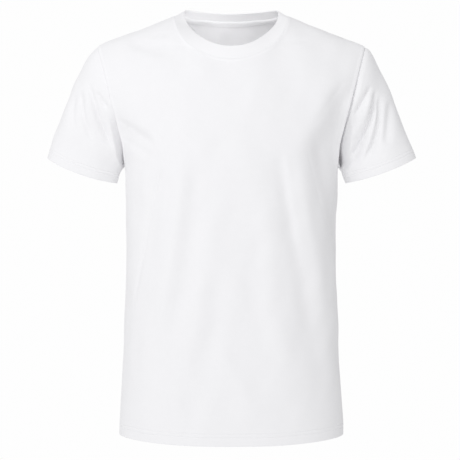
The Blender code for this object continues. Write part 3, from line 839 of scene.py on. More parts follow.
# ---- The grid that the pieces share ----
@dataclass(frozen=True)
class BodyGrid:
    """Rows of points on the figure, which the panels, the sleeves and the rib have in common.

    Attributes:
        figure: The form they lie on.
        hem: The stitching of the lower edge, which settles the lowest rows.
        side_pitch: The height of a row between hem and underarm.
        arm_rows: Rows from the underarm to the shoulder seam.
        neck_rows: Of those, the topmost, which start at the neck seam.
        columns: Cells between the two finer zones of a row.
        near_seam: Distances from a seam at which a row has points.
        inward: The share of a row where the way in from the armhole is measured.
    """

    figure: Figure
    hem: HemStitching
    side_pitch: float = 0.0042
    arm_rows: int = 75
    neck_rows: int = 50
    columns: int = 92
    near_seam: tuple[float, ...] = (0.0004, 0.0009, 0.0015, 0.0023, 0.0034, 0.0048, 0.0066, 0.0090)
    inward: float = 18 / 19

    @cache
    def side_levels(self) -> Floats:
        """The heights of the rows at the side seam, from hem to underarm.

        Returns:
            The heights, rising.
        """
        hem, underarm = self.figure.hem_level, self.figure.underarm_level
        near = hem + np.array(self.hem.levels())
        count = int(round((underarm - near[-1]) / self.side_pitch))
        return np.concatenate([near, np.linspace(near[-1], underarm, count + 1)[1:]])

    @cache
    def row_ends(self, face: Face) -> tuple[Floats, Floats]:
        """For each row, (turn, fall) at its inner end and at its outer end.

        Args:
            face: The front or the back.

        Returns:
            The inner ends, and the outer ones.
        """
        levels = self.side_levels()
        side_fall = self.figure.fall(face, self.figure.half_width(levels), levels)
        arm_turn, arm_fall = self.figure.armhole_places(face, self.arm_rows)
        outer = np.stack(
            [
                np.concatenate([np.full(len(levels), math.pi / 2), arm_turn[1:]]),
                np.concatenate([side_fall, arm_fall[1:]]),
            ],
            axis=-1,
        )
        neck_turn, neck_fall = self.figure.neck_places(face, self.neck_rows)
        between = self.arm_rows - self.neck_rows
        step = np.arange(1, between + 1) / between
        level = side_fall[-1] + (neck_fall[0] - side_fall[-1]) * step
        inner = np.stack(
            [
                np.concatenate([np.zeros(len(levels) + between), neck_turn[1:]]),
                np.concatenate([side_fall, level, neck_fall[1:]]),
            ],
            axis=-1,
        )
        return inner, outer

    def _shares(self, face: Face) -> Floats:
        """Where each point lies on its row, 0 at the inner end and 1 at the outer.

        Args:
            face: The front or the back.

        Returns:
            The shares, by row and column.
        """
        inner, outer = self.row_ends(face)
        fine = np.concatenate([np.linspace(0, 0.02, 60), np.linspace(0.02, 0.98, 300)[1:-1]])
        fine = np.concatenate([fine, np.linspace(0.98, 1, 60)])
        place = inner[:, None] + (outer - inner)[:, None] * fine[None, :, None]
        lines = self.figure.point(face, place[..., 0], place[..., 1])
        near = np.array([0.0, *self.near_seam])
        shares = []
        for line in lines:
            lengths = run_lengths(line)
            last = near[-1]
            even = np.linspace(last, lengths[-1] - last, self.columns + 1)[1:-1]
            wanted = np.concatenate([near, even, lengths[-1] - near[::-1]])
            shares.append(np.interp(wanted, lengths, fine))
        return np.array(shares)

    def _on_form(self, face: Face, shares: Floats) -> tuple[Floats, Floats]:
        """The points at shares of each row, and their places on the flat cloth.

        Args:
            face: The front or the back.
            shares: The shares, by row and column.

        Returns:
            The points, and their places.
        """
        inner, outer = self.row_ends(face)
        place = inner[:, None] + (outer - inner)[:, None] * shares[..., None]
        turn, fall = place[..., 0], place[..., 1]
        points = self.figure.point(face, turn, fall)
        levels = len(self.side_levels())
        if shares[0, -1] == 1:
            points[:levels, -1, 1] = 0
        hem, underarm = self.figure.hem_level, self.figure.underarm_level
        down = np.clip((underarm - points[..., 2]) / (underarm - hem), 0, 1)
        middle = points[..., 1] / self.figure.depth(face, points[..., 2])
        points[..., 2] -= face.hem_droop * down**2 * np.abs(middle) ** 3
        grain = np.stack([self._girth(face)(turn), self._length(face)(fall)], axis=-1)
        return points, grain

    @cache
    def _girth(self, face: Face) -> Curve:
        """Across the cloth, from the middle to each turn, at the chest."""
        turn = np.linspace(0, math.pi / 2, 60)
        return Curve(turn, run_lengths(self.figure.point(face, turn, np.ones(len(turn)))))

    @cache
    def _length(self, face: Face) -> Curve:
        """Along the cloth, from the shoulder line to each fall, beside the middle."""
        fall = np.linspace(0, 2.2, 120)  # on past the hem
        return Curve(fall, run_lengths(self.figure.point(face, np.full(len(fall), 0.3), fall)))

    @cache
    def half(self, face: Face) -> tuple[Floats, Floats]:
        """The half of a panel at +X: its points and grain, by row from the hem and column.

        Args:
            face: The front or the back.

        Returns:
            The points, and the grain.
        """
        points, grain = self._on_form(face, self._shares(face))
        if face is BACK:  # it takes its side and shoulder seams from the front, to the last digit
            front, _ = self.half(FRONT)
            levels = len(self.side_levels())
            points[:levels, -1] = front[:levels, -1]
            points[-1] = front[-1]
        return points, grain

    def armhole(self, face: Face) -> tuple[Floats, Floats]:
        """The armhole's points at +X from the underarm up, and points a little further in.

        Args:
            face: The front or the back.

        Returns:
            The two lines.
        """
        levels = len(self.side_levels())
        points, _ = self.half(face)
        inner, _ = self.row_ends(face)
        further, _ = self._on_form(face, np.full((len(inner), 1), self.inward))
        return points[levels - 1 :, -1], further[levels - 1 :, 0]

    def neck(self, face: Face) -> Floats:
        """The neck seam's points at +X, from the middle up to the shoulder seam."""
        points, _ = self.half(face)
        return points[-self.neck_rows - 1 :, 0]


def there_and_back(front_half: Floats, back_half: Floats) -> Floats:
    """One line out of two that end in one point: along the front one, back along the other."""
    return np.concatenate([front_half, back_half[::-1][1:]])


def tube_quads(rings: int, count: int, turned: bool) -> list[Quad]:
    """Quads between closed rings of points.

    Args:
        rings: How many rings there are.
        count: How many points each has.
        turned: Whether they face the other way.

    Returns:
        The quads.
    """
    quads: list[Quad] = []
    for i in range(rings - 1):
        for j in range(count):
            k = (j + 1) % count
            quad = (i * count + j, i * count + k, (i + 1) * count + k, (i + 1) * count + j)
            quads.append(quad[::-1] if turned else quad)
    return quads


# ---- The pieces ----
@dataclass(frozen=True)
class Dent:
    """A soft hollow that body and sleeve share in front of an armpit.

    Attributes:
        centre: Where it is deepest, (x, z).
        reach: How far it spreads, across and up and down.
        depth: How far back the cloth lies there.
        full: How far in front of the side seams it has its full depth.
    """

    centre: Pair
    reach: Pair
    depth: float
    full: float = 0.030

    def move(self, cloth: Cloth) -> None:
        """Moves a piece's front back.

        Args:
            cloth: The piece.
        """
        x, y, z = cloth.points.T
        away = np.hypot((x - self.centre[0]) / self.reach[0], (z - self.centre[1]) / self.reach[1])
        cloth.points[:, 1] += self.depth * bell(away) * ease(-y / self.full)


@dataclass
class Panel:
    """The front or the back of the body, cut from jersey.

    Attributes:
        name: The piece's name.
        node: The solid it stands for.
        grid: The rows it is made on.
        face: Which side of the body it covers.
        main_folds: The folds that its solid has too.
        small_folds: The finer creases.
        ripple: The waves all over.
        roll: How far the edge beside the right sleeve's upper seam stands up.
        roll_levels: The heights between which it does so, and is highest.
        gather: How far the two rows under the neck come up, in steps.
        part: How far the next row then bends down from the seam, in steps.
        part_reach: How far from the middle it has done so, where it comes back, and over what
            length.
        hem_ripple: Below what height the ripple dies away, and what is left of it.
        band_ends: How wide the two slopes of the armhole's band are.
        roll_reach: Where beside the seam the edge stands up, where it sinks again, and over what
            width.
        neck_band: The band at the neck: its share of the rise, its first slope, its width and its
            second slope.
        stitch_groove: The neck stitches' share of a groove's depth, and how wide theirs is.
        allowances: How far the cloth lies double, past the armhole's band and at the neck.
        allowance_fade: Over which shares of that it fades.
    """

    name: str
    node: str
    grid: BodyGrid
    face: Face
    main_folds: tuple[Fold, ...]
    small_folds: tuple[Fold, ...]
    ripple: Ripple
    cloth: float = 0.0011
    hem_cloth: float = 0.0020
    main_fade: float = 0.016
    small_fade: float = 0.006
    band_rise: float = 0.00055
    band_width: float = 0.0046
    roll: float = 0.0
    roll_levels: tuple[float, float, float, float] = (-0.060, -0.085, -0.135, -0.160)
    groove: float = 0.00055
    neck_seam_row: float = 0.0022
    gather: Pair = (0.6, 0.75)
    gather_reach: float = 0.02
    part: float = 0.20
    part_reach: Triple = (0.003, 0.010, 0.03)
    hem_ripple: Pair = (0.05, 0.3)
    band_ends: Pair = (0.0011, 0.0018)
    roll_reach: Triple = (0.0055, 0.006, 0.020)
    neck_band: tuple[float, float, float, float] = (0.7, 0.0010, 0.0050, 0.0020)
    groove_reach: float = 0.0011
    shoulder_groove: float = 0.6
    stitch_groove: Pair = (0.3, 0.0008)
    allowances: Pair = (0.001, 0.0045)
    allowance_fade: Pair = (0.8, 0.4)
    seam_reach: float = 0.03
    stitch_rows: list[Ints] = field(default_factory=list)

    def _gather(self, half: Floats, half_grain: Floats) -> None:
        """Brings the rows under the middle of the neck up to its seam, in place.

        Args:
            half: The half at +X, by row and column.
            half_grain: Its grain.
        """
        first = len(half) - self.grid.neck_rows - 1  # the row that starts at the middle of the neck
        away = half[first, :, 0:1] - half[first, 0, 0]
        lower, upper = self.gather
        middle = 1 - ease(away / self.gather_reach)
        begin, end, fade = self.part_reach
        leave = self.part * np.clip(away / begin, 0, 1) * (1 - ease((away - end) / fade))
        for lines in (half, half_grain):
            apart = lines[first - 1] - lines[first]
            lines[first - 2] += (lines[first - 1] - lines[first - 2]) * lower * middle
            lines[first - 1] -= apart * upper * middle
            lines[first] += apart * leave

    def build(self) -> Cloth:
        """Lays out the panel with its folds, seams and hem.

        Returns:
            The panel.
        """
        half, half_grain = (grid.copy() for grid in self.grid.half(self.face))
        self._gather(half, half_grain)
        rows, columns = half.shape[:2]
        middle_rows = rows - self.grid.neck_rows
        number = np.zeros((2, rows, columns), int)
        number[0] = np.arange(rows * columns).reshape(rows, columns)
        own = np.ones((rows, columns), bool)
        own[:middle_rows, 0] = False
        number[1][own] = rows * columns + np.arange(own.sum())
        number[1][~own] = number[0][~own]
        points = np.concatenate([half.reshape(-1, 3), half[own] * (-1, 1, 1)])
        grain = np.concatenate([half_grain.reshape(-1, 2), half_grain[own] * (-1, 1)])
        quads: list[Quad] = []
        for side, grid in zip((1, -1), number):
            corners = np.stack(
                [grid[:-1, :-1], grid[:-1, 1:], grid[1:, 1:], grid[1:, :-1]], axis=-1
            )
            if side * self.face.sign > 0:
                corners = corners[..., ::-1]
            quads += [tuple(int(a) for a in quad) for quad in corners.reshape(-1, 4)]
        levels = self.grid.side_levels()
        height = np.full(rows, 1.0)
        height[: len(levels)] = levels - levels[0]
        heights = np.full(len(points), 1.0)
        for grid in number:
            heights[grid.ravel()] = np.repeat(height, columns)
        walls = np.where(heights < self.grid.hem.height, self.hem_cloth, self.cloth)
        cloth = Cloth(self.name, self.node, points, quads, walls, grain)
        self.stitch_rows = [
            there_and_back(number[1, i, ::-1], number[0, i, ::-1])
            for i in [int(np.argmin(np.abs(height - row))) for row in self.grid.hem.rows]
        ]
        self._shape(cloth, number, len(levels), middle_rows, heights)
        return cloth

    def _shape(
        self, cloth: Cloth, number: Ints, levels: int, middle_rows: int, heights: Floats
    ) -> None:
        """Gives the flat form its folds, seams and hem.

        Args:
            cloth: The panel.
            number: Its points' numbers, by side, row and column.
            levels: How many rows there are up to the underarm.
            middle_rows: How many rows start in the middle.
            heights: The points' heights over the hem.
        """
        points = cloth.points
        sides = np.concatenate([grid[:levels, -1] for grid in number])
        lines = {
            "side": [points[grid[:levels, -1]] for grid in number],
            "arm": [points[grid[levels - 1 :, -1]] for grid in number],
            "shoulder": [points[grid[-1]] for grid in number],
            "neck": [points[grid[middle_rows - 1 :, 0]] for grid in number],
        }
        far = {
            key: np.min([distance_to_line(points, line, self.seam_reach) for line in found], axis=0)
            for key, found in lines.items()
        }
        nearest = np.min(list(far.values()), axis=0)
        x, z = points[:, 0].copy(), points[:, 2].copy()
        main = sum(fold.height(x, z) for fold in self.main_folds)
        cloth.move_out(main * ease(nearest / self.main_fade))
        small = sum((fold.height(x, z) for fold in self.small_folds), np.zeros(len(x)))
        calm, least = self.hem_ripple
        small = small + self.ripple.height_at(cloth.points) * ease(heights / calm + least)
        begin, end = self.band_ends
        seams = self.band_rise * ease(far["arm"] / begin) * (
            1 - ease((far["arm"] - self.band_width) / end)
        )
        top, high, low, bottom = self.roll_levels
        rolled = ease((top - z) / (top - high)) * ease((z - bottom) / (low - bottom)) * (x < 0)
        begin, width, end = self.roll_reach
        rolled = rolled * ease(far["arm"] / begin) * (1 - ease((far["arm"] - width) / end))
        seams = seams + self.roll * rolled
        seams = seams - self.groove * bell(far["side"] / self.groove_reach)
        seams = seams - self.shoulder_groove * self.groove * bell(
            far["shoulder"] / self.groove_reach
        )
        share, begin, width, end = self.neck_band
        seams = seams + share * self.band_rise * ease(far["neck"] / begin) * (
            1 - ease((far["neck"] - width) / end)
        )
        share, reach = self.stitch_groove
        seams = seams - share * self.groove * bell((far["neck"] - self.neck_seam_row) / reach)
        seams = seams + self.grid.hem.relief(heights)
        past_band, at_neck = self.allowances
        widths = np.stack([far["arm"] / (self.band_width + past_band), far["neck"] / at_neck])
        begin, fade = self.allowance_fade
        cloth.doubled = 1 - ease((widths.min(axis=0) - begin) / fade)
        on_rim = np.zeros(len(x), bool)
        on_rim[cloth.rim_points] = True
        hem_edge = heights == 0
        moves = small * ease(nearest / self.small_fade) + seams
        cloth.move_out(np.where(on_rim & ~hem_edge, 0, moves))
        for dent in DENTS:
            dent.move(cloth)
        cloth.sink[sides] = self.groove


@dataclass(frozen=True)
class ArmpitHollow:
    """The gap between body and sleeve in front of the armpit, where the sleeve's cloth lies back.

    Attributes:
        rows: From its upper end down to the underarm: the height, how far its floor reaches out
            from the seam, the width of the wall beyond, the depth, and the width and depth of the
            slot along the seam.
        lip: How far from the seam it starts.
        slot_edge: The width of the slot's wall.
    """

    rows: tuple[tuple[float, float, float, float, float, float], ...]
    lip: float = 0.0012
    slot_edge: float = 0.0025

    def depth_at(self, z: Floats, far: Floats) -> Floats:
        """How far back each point goes.

        Args:
            z: The points' heights.
            far: Their distances from the armhole seam.

        Returns:
            One depth for each.
        """
        levels = [row[0] for row in self.rows][::-1]
        floor, wall, depth, slot, slot_depth = (
            Curve(levels, [row[column] for row in self.rows][::-1])(z) for column in range(1, 6)
        )
        across = np.clip((far - floor) / wall, 0, 1)
        hollow = depth * (1 - across) * (1 - 0.5 * across**6)
        hollow += slot_depth * (1 - ease((far - slot) / self.slot_edge))
        inside = (z > levels[0]) & (z < levels[-1])
        return hollow * ease(far / self.lip) * inside


@dataclass
class Sleeve:
    """A set-in sleeve, a tube from the armhole to the cuff.

    Its lines leave the armhole the way the shoulder goes, or straight out under the arm, tuck in
    behind the seam near the armpit, and bend down along the arm.

    Attributes:
        name: The piece's name.
        node: The solid it stands for.
        grid: The rows of the body, whose armhole it shares.
        side: 1 for the wearer's left and -1 for the right.
        droop_front: How much lower the cuff hangs at the front than at its sides.
        front_folds: The solid's folds on the front, as seen at +X.
        back_folds: The same on the back.
        small_front: The finer creases on the front, as seen at +X.
        small_back: The same on the back.
        ripple: The waves all over.
        hem: The cuff's stitching.
        hollow: The gap in front of the armpit.
        groove: How far the sleeve's edge lies below the body's.
        near_seam: Where the first rings stand, as shares of the way down.
        drop: How steeply the lines leave on top, how much more under the arm, and how far round.
        follow: Where the lines start to leave the way the shoulder goes, and over what share.
        leave: How strongly they leave under the arm, and how much less on top.
        front_full: How far in front of the side seams the hollow has its depth.
    """

    name: str
    node: str
    grid: BodyGrid
    side: int
    droop_front: float
    front_folds: tuple[Fold, ...]
    back_folds: tuple[Fold, ...]
    small_front: tuple[Fold, ...]
    small_back: tuple[Fold, ...]
    ripple: Ripple
    hem: HemStitching
    hollow: ArmpitHollow
    groove: float
    near_seam: tuple[float, ...] = (0.0045, 0.010, 0.017, 0.026, 0.038)
    cloth: float = 0.0011
    hem_cloth: float = 0.0020
    above_cuff: float = 0.018
    tilt: float = math.radians(20.0)
    tuck: float = 0.95
    tuck_place: float = 0.30
    tuck_spread: float = 0.20
    cuff_centre: Triple = (0.2556, 0.003, -0.2675)
    cuff_half_width: float = 0.0635
    cuff_half_depth: float = 0.0475
    cuff_power: float = 2.15
    droop_back: float = -0.0020
    main_fade: float = 0.014
    rings: int = 84
    groove_width: float = 0.0022
    under: float = 0.0012
    drop: Triple = (-0.25, 0.35, 0.3)
    follow: Pair = (0.60, 0.40)
    leave: Pair = (0.62, 0.10)
    arrive: float = 0.90
    seam_reach: float = 0.03
    small_fade: float = 0.010
    side_fade: float = 0.010
    front_full: float = 0.02
    stitch_rows: list[Ints] = field(default_factory=list)

    def _cuff(self, share: Floats) -> Floats:
        """Points of the cuff at +X, round from the inner corner over the front.

        Args:
            share: Shares of the way round.

        Returns:
            One point for each.
        """

        def at(angle: Floats) -> Floats:
            """Points at angles round the cuff's centre.

            Args:
                angle: The angles.

            Returns:
                One point for each.
            """
            wide = -np.sign(np.cos(angle)) * np.abs(np.cos(angle)) ** (2 / self.cuff_power)
            deep = -np.sign(np.sin(angle)) * np.abs(np.sin(angle)) ** (2 / self.cuff_power)
            droop = np.where(deep < 0, self.droop_front, self.droop_back) * deep**2
            reach = wide * self.cuff_half_width
            x = self.cuff_centre[0] + reach * math.cos(self.tilt) + droop * math.sin(self.tilt)
            y = self.cuff_centre[1] + deep * self.cuff_half_depth
            z = self.cuff_centre[2] + reach * math.sin(self.tilt) - droop * math.cos(self.tilt)
            return np.stack([x, y, z], axis=-1)

        fine = np.linspace(0, 2 * math.pi, 4000)
        lengths = run_lengths(at(fine))
        return at(np.interp(share * lengths[-1], lengths, fine))

    def build(self) -> Cloth:
        """Lays out the sleeve with its folds, seam and cuff.

        Returns:
            The sleeve.
        """
        (front, front_in), (back, back_in) = (self.grid.armhole(face) for face in (FRONT, BACK))
        start = there_and_back(front, back)[:-1]
        inward = there_and_back(front_in, back_in)[:-1]
        count = len(start)
        steps = np.arange(count)
        share = np.minimum(steps, count - steps) / (count // 2)  # 0 under the arm, 1 on top
        cuff = self._cuff(steps / count)
        down = np.array([math.sin(self.tilt), 0, -math.cos(self.tilt)])
        above = cuff - down * self.above_cuff
        reach = np.linalg.norm(above - start, axis=1)[:, None]
        onward = unit(start - inward)
        outward = np.zeros((count, 3))
        outward[:, 0] = 1
        on_top, further, until = self.drop
        outward[:, 2] = on_top - further * (1 - ease(share / until))
        follow = ease((share - self.follow[0]) / self.follow[1])[:, None]
        leave = onward * follow + unit(outward) * (1 - follow)
        tuck = self.tuck * bell((share - self.tuck_place) / self.tuck_spread)
        leave[:, 1] -= np.sign(start[:, 1]) * tuck
        leave = unit(leave) * reach * (self.leave[0] - self.leave[1] * share[:, None])
        arrive = down * reach * self.arrive
        times = np.concatenate(
            [[0], self.near_seam, np.linspace(self.near_seam[-1], 1, self.rings + 1)[1:]]
        )
        lines = [
            (1 + 2 * t) * (1 - t) ** 2 * start
            + t * (1 - t) ** 2 * leave
            + t**2 * (3 - 2 * t) * above
            - t**2 * (1 - t) * arrive
            for t in times
        ]
        levels = [level for level in self.hem.levels() if level < self.above_cuff - 0.0005]
        lines += [cuff - down * level for level in reversed(levels)]
        heights = np.concatenate([np.full(len(times) - 1, 1.0), [self.above_cuff], levels[::-1]])
        rings = len(lines)
        points = np.concatenate(lines) * (self.side, 1, 1)
        girth = run_lengths(np.append(lines[rings // 2], lines[rings // 2][:1], axis=0))
        along = run_lengths(np.array([line[count // 4] for line in lines]))
        grain = np.stack([np.tile(girth[:-1], rings), np.repeat(along, count)], axis=-1)
        walls = np.repeat(np.where(heights < self.hem.height, self.hem_cloth, self.cloth), count)
        quads = tube_quads(rings, count, turned=self.side > 0)
        cloth = Cloth(self.name, self.node, points, quads, walls, grain, around=float(girth[-1]))
        self.stitch_rows = [
            int(np.argmin(np.abs(heights - row))) * count + np.append(steps, 0)
            for row in self.hem.rows
        ]
        self._shape(cloth, count, np.repeat(heights, count))
        return cloth

    def _shape(self, cloth: Cloth, count: int, heights: Floats) -> None:
        """Gives the tube its folds, the groove along its seam, and its cuff.

        Args:
            cloth: The sleeve.
            count: How many points a ring has.
            heights: The points' heights over the cuff.
        """
        seam = np.append(cloth.points[:count], cloth.points[:1], axis=0)
        far = distance_to_line(cloth.points, seam, self.seam_reach)
        x, z = cloth.points[:, 0] * self.side, cloth.points[:, 2]
        front = cloth.points[:, 1] < 0
        for folds, here in ((self.front_folds, front), (self.back_folds, ~front)):
            rise = sum(fold.height(x, z) for fold in folds)
            cloth.move_out(rise * ease(far / self.main_fade) * here)
        near_side = ease(np.abs(cloth.points[:, 1]) / self.side_fade)
        small = np.zeros(len(x))
        for folds, here in ((self.small_front, front), (self.small_back, ~front)):
            small += sum((fold.height(x, z) for fold in folds), np.zeros(len(x))) * here * near_side
        small += self.ripple.height_at(cloth.points)
        moves = small * ease(far / self.small_fade) - self.groove * bell(far / self.groove_width)
        moves += self.hem.relief(heights)
        moves[:count] = 0
        cloth.move_out(moves)
        for dent in DENTS:
            dent.move(cloth)
        in_front = ease(-cloth.points[:, 1] / self.front_full)
        cloth.points[:, 1] += self.hollow.depth_at(z, far) * in_front
        cloth.sink[:count] = self.groove
        cloth.under = self.under


@dataclass
class NeckRib:
    """The band of rib knit round the neck, folded double, from the neck seam up to its rim."""

    name: str
    node: str
    grid: BodyGrid
    rings: tuple[float, ...] = (
        0.0, 0.03, 0.07, 0.12, 0.20, 0.29, 0.38, 0.47, 0.56, 0.65, 0.74, 0.82, 0.89, 0.95, 1.0
    )  # fmt: skip
    cloth: float = 0.0022
    swell: float = 0.0008
    groove: float = 0.0004
    groove_reach: float = 0.0013
    bulge_rise: float = 0.06
    shoulder_row: int = 7
    smoothing: int = 4
    rim: tuple[Triple, ...] = (  # from the front's middle to the back's
        (0.0000, -0.0810, -0.0648),
        (0.0182, -0.0790, -0.0628),
        (0.0322, -0.0745, -0.0582),
        (0.0463, -0.0655, -0.0500),
        (0.0608, -0.0500, -0.0378),
        (0.0750, -0.0265, -0.0196),
        (0.0812, -0.0060, -0.0040),
        (0.0818, 0.0100, 0.0062),
        (0.0790, 0.0230, 0.0110),
        (0.0690, 0.0370, 0.0119),
        (0.0520, 0.0470, 0.0116),
        (0.0280, 0.0530, 0.0106),
        (0.0000, 0.0545, 0.0098),
    )

    def _stretch(self, rows: Sequence[Triple]) -> Floats:
        """Divides a stretch of the rim evenly.

        Args:
            rows: The stretch's corners.

        Returns:
            The points that divide it.
        """
        table = np.array(rows)
        lengths = run_lengths(table)
        at = np.linspace(0, lengths[-1], self.grid.neck_rows + 1)
        return np.stack([Curve(lengths, table[:, axis])(at) for axis in range(3)], axis=-1)

    def build(self) -> Cloth:
        """Lays out the band.

        Returns:
            The band.
        """
        seam = there_and_back(self.grid.neck(FRONT), self.grid.neck(BACK))
        rim = there_and_back(
            self._stretch(self.rim[: self.shoulder_row + 1]),
            self._stretch(self.rim[self.shoulder_row :])[::-1],
        )
        seam, rim = (np.concatenate([line, line[-2:0:-1] * (-1, 1, 1)]) for line in (seam, rim))
        reach = range(-self.smoothing, self.smoothing + 1)
        weights = [float(bell(1.5 * step / self.smoothing)) for step in reach]
        rolled = [np.roll(rim, step, axis=0) * weight for step, weight in zip(reach, weights)]
        rim = np.sum(rolled, axis=0) / sum(weights)
        middle = rim.mean(axis=0)
        count = len(seam)
        lines = []
        for share in self.rings:
            ring = seam + (rim - seam) * share
            out = ring - middle
            out[:, 2] += self.bulge_rise
            lines.append(ring + unit(out) * self.swell * 4 * share * (1 - share))
        points = np.concatenate(lines)
        girth = run_lengths(np.append(seam, seam[:1], axis=0))
        across = np.array(self.rings) * float(np.linalg.norm(rim - seam, axis=1).mean())
        grain = np.stack([np.tile(girth[:-1], len(lines)), np.repeat(across, count)], axis=-1)
        quads = tube_quads(len(lines), count, turned=False)
        walls = np.full(len(points), self.cloth)
        cloth = Cloth(self.name, self.node, points, quads, walls, grain, around=float(girth[-1]))
        far = distance_to_line(points, np.append(points[:count], points[:1], axis=0), 0.02)
        moves = -self.groove * bell(far / self.groove_reach)
        moves[:count] = 0
        cloth.move_out(moves)
        cloth.sink[:count] = self.groove
        return cloth


@dataclass
class NeckTape:
    """The narrow strip that covers the neck seam inside the back, on the panel and the rib.

    Attributes:
        top: From the seam down to its upper edge; above the seam is negative.
        rise: How much higher it lies as far from the middle as rise_place.
        sink_share: Over what share of its width the upper edge goes in.
        rows_smoothed: How many times it is smoothed along for each time across.
        bite_place: Where its stitches pull it in, and how far to either side.
    """

    name: str
    node: str
    grid: BodyGrid
    skin: BVHTree
    top: float = -0.0034
    width: float = 0.0122
    rise: float = 0.0062
    rise_place: float = 0.08
    most_rise: float = 0.0070
    lift: float = 0.0006
    swell: float = 0.0006
    sink: float = 0.0022
    sink_share: float = 0.16
    smoothing: int = 48
    rows_smoothed: int = 4
    cloth: float = 0.0009
    rows: tuple[float, ...] = (0.0, 0.04, 0.10, 0.18, 0.34, 0.5, 0.66, 0.82, 0.90, 0.96, 1.0)
    bite: float = 0.0003
    bite_place: Pair = (0.90, 0.07)
    look_down: float = 0.008

    def build(self) -> Cloth:
        """Lays the strip over the seam, stopping short of the shoulder seams.

        Returns:
            The strip.
        """
        seam = self.grid.neck(BACK)
        seam = np.concatenate([seam[::-1], seam[1:] * (-1, 1, 1)])[2:-2]
        rise = np.minimum(self.rise * (seam[:, 0] / self.rise_place) ** 2, self.most_rise)
        nears, normals, bases = [], [], []
        for share in self.rows:
            for k, point in enumerate(seam):
                before, after = seam[max(k - 1, 0)], seam[min(k + 1, len(seam) - 1)]
                _, normal, _, _ = self.skin.find_nearest(Vector(point - (0, 0, self.look_down)))
                down = unit(np.cross(after - before, np.array(normal)))
                place = point + down * (self.top - rise[k] + self.width * share)
                near, normal, _, _ = self.skin.find_nearest(Vector(place))
                nears.append(np.array(near))
                normals.append(np.array(normal))
                bases.append(point)
        shape = (len(self.rows), len(seam), 3)
        base, normal = np.reshape(bases, shape), np.reshape(normals, shape)
        off = np.reshape(nears, shape) - base
        for turn in range(self.smoothing):
            for grid in (off, normal):
                grid[:, 1:-1] = (grid[:, :-2] + 2 * grid[:, 1:-1] + grid[:, 2:]) / 4
                if turn % self.rows_smoothed == 0:
                    grid[1:-1] = (grid[:-2] + 2 * grid[1:-1] + grid[2:]) / 4
        near = base + off
        rows = np.array(self.rows)
        stitched, spread = self.bite_place
        lift = self.lift + self.swell * 4 * rows * (1 - rows)
        lift = lift - self.bite * bell((rows - stitched) / spread)
        lift = lift - self.sink * (1 - ease(rows / self.sink_share))
        points = (near - unit(normal) * lift[:, None, None]).reshape(-1, 3)
        count = len(seam)
        quads: list[Quad] = []
        for i in range(len(self.rows) - 1):
            for j in range(count - 1):
                at = i * count + j
                quads.append((at, at + count, at + count + 1, at + 1))
        along = run_lengths(seam)
        grain = np.stack(
            [np.tile(along, len(rows)), np.repeat(rows * self.width, count)], axis=-1
        )
        walls = np.full(len(points), self.cloth)
        return Cloth(self.name, self.node, points, quads, walls, grain, folded_edges=False)


# ---- Thread ----
@dataclass
class Stitches:
    """Rows of short stitches in sewing thread, lying on the cloth.

    Attributes:
        name: The piece's name.
        pitch: From one stitch to the next.
        length: Of the thread that shows in a stitch.
        radius: Half the thread's width.
        sunk: How deep the middle of the thread lies under the cloth's face.
    """

    name: str
    pitch: float = 0.0030
    length: float = 0.0023
    radius: float = 0.00026
    sunk: float = 0.00002
    sides: int = 6
    points: list[Floats] = field(default_factory=list)
    faces: list[list[int]] = field(default_factory=list)

    def sew(self, line: Floats, ways: Floats) -> None:
        """Adds a row of stitches along a line on the cloth.

        Args:
            line: The line's points.
            ways: The cloth's normal at each.
        """
        lengths = run_lengths(line)
        count = int(lengths[-1] / self.pitch)
        starts = (np.arange(count) + 0.5) * lengths[-1] / count - self.length / 2
        rings = np.array([0.0, 0.12, 0.5, 0.88, 1.0])
        sizes = np.array([0.35, 0.85, 1.0, 0.85, 0.35])
        dips = np.array([1.0, 0.45, 0.0, 0.45, 1.0]) * self.radius * 1.6
        for start in starts:
            at = start + rings * self.length
            centre = np.stack([np.interp(at, lengths, line[:, k]) for k in range(3)], axis=-1)
            up = unit(np.stack([np.interp(at, lengths, ways[:, k]) for k in range(3)], axis=-1))
            centre = centre - up * (self.sunk + dips)[:, None]
            along = unit(centre[-1] - centre[0])
            aside = unit(np.cross(along, up))
            first = sum(len(part) for part in self.points)
            turns = np.arange(self.sides) * 2 * math.pi / self.sides
            ring = (
                aside[:, None] * np.cos(turns)[None, :, None]
                + np.cross(aside, along)[:, None] * np.sin(turns)[None, :, None]
            )
            self.points.append(
                (centre[:, None] + ring * (sizes * self.radius)[:, None, None]).reshape(-1, 3)
            )
            for i in range(len(rings) - 1):
                for j in range(self.sides):
                    k = (j + 1) % self.sides
                    low, high = first + i * self.sides, first + (i + 1) * self.sides
                    self.faces.append([low + j, high + j, high + k, low + k])
            self.faces.append([first + j for j in range(self.sides)])
            last = first + (len(rings) - 1) * self.sides
            self.faces.append([last + j for j in reversed(range(self.sides))])

    def add(self, finish: Material) -> Object:
        """Adds all the rows to the scene as one piece.

        Args:
            finish: Their material.

        Returns:
            The new object.
        """
        obj = add_mesh(self.name, np.concatenate(self.points), self.faces, finish)
        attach(obj, BODY)
        return obj


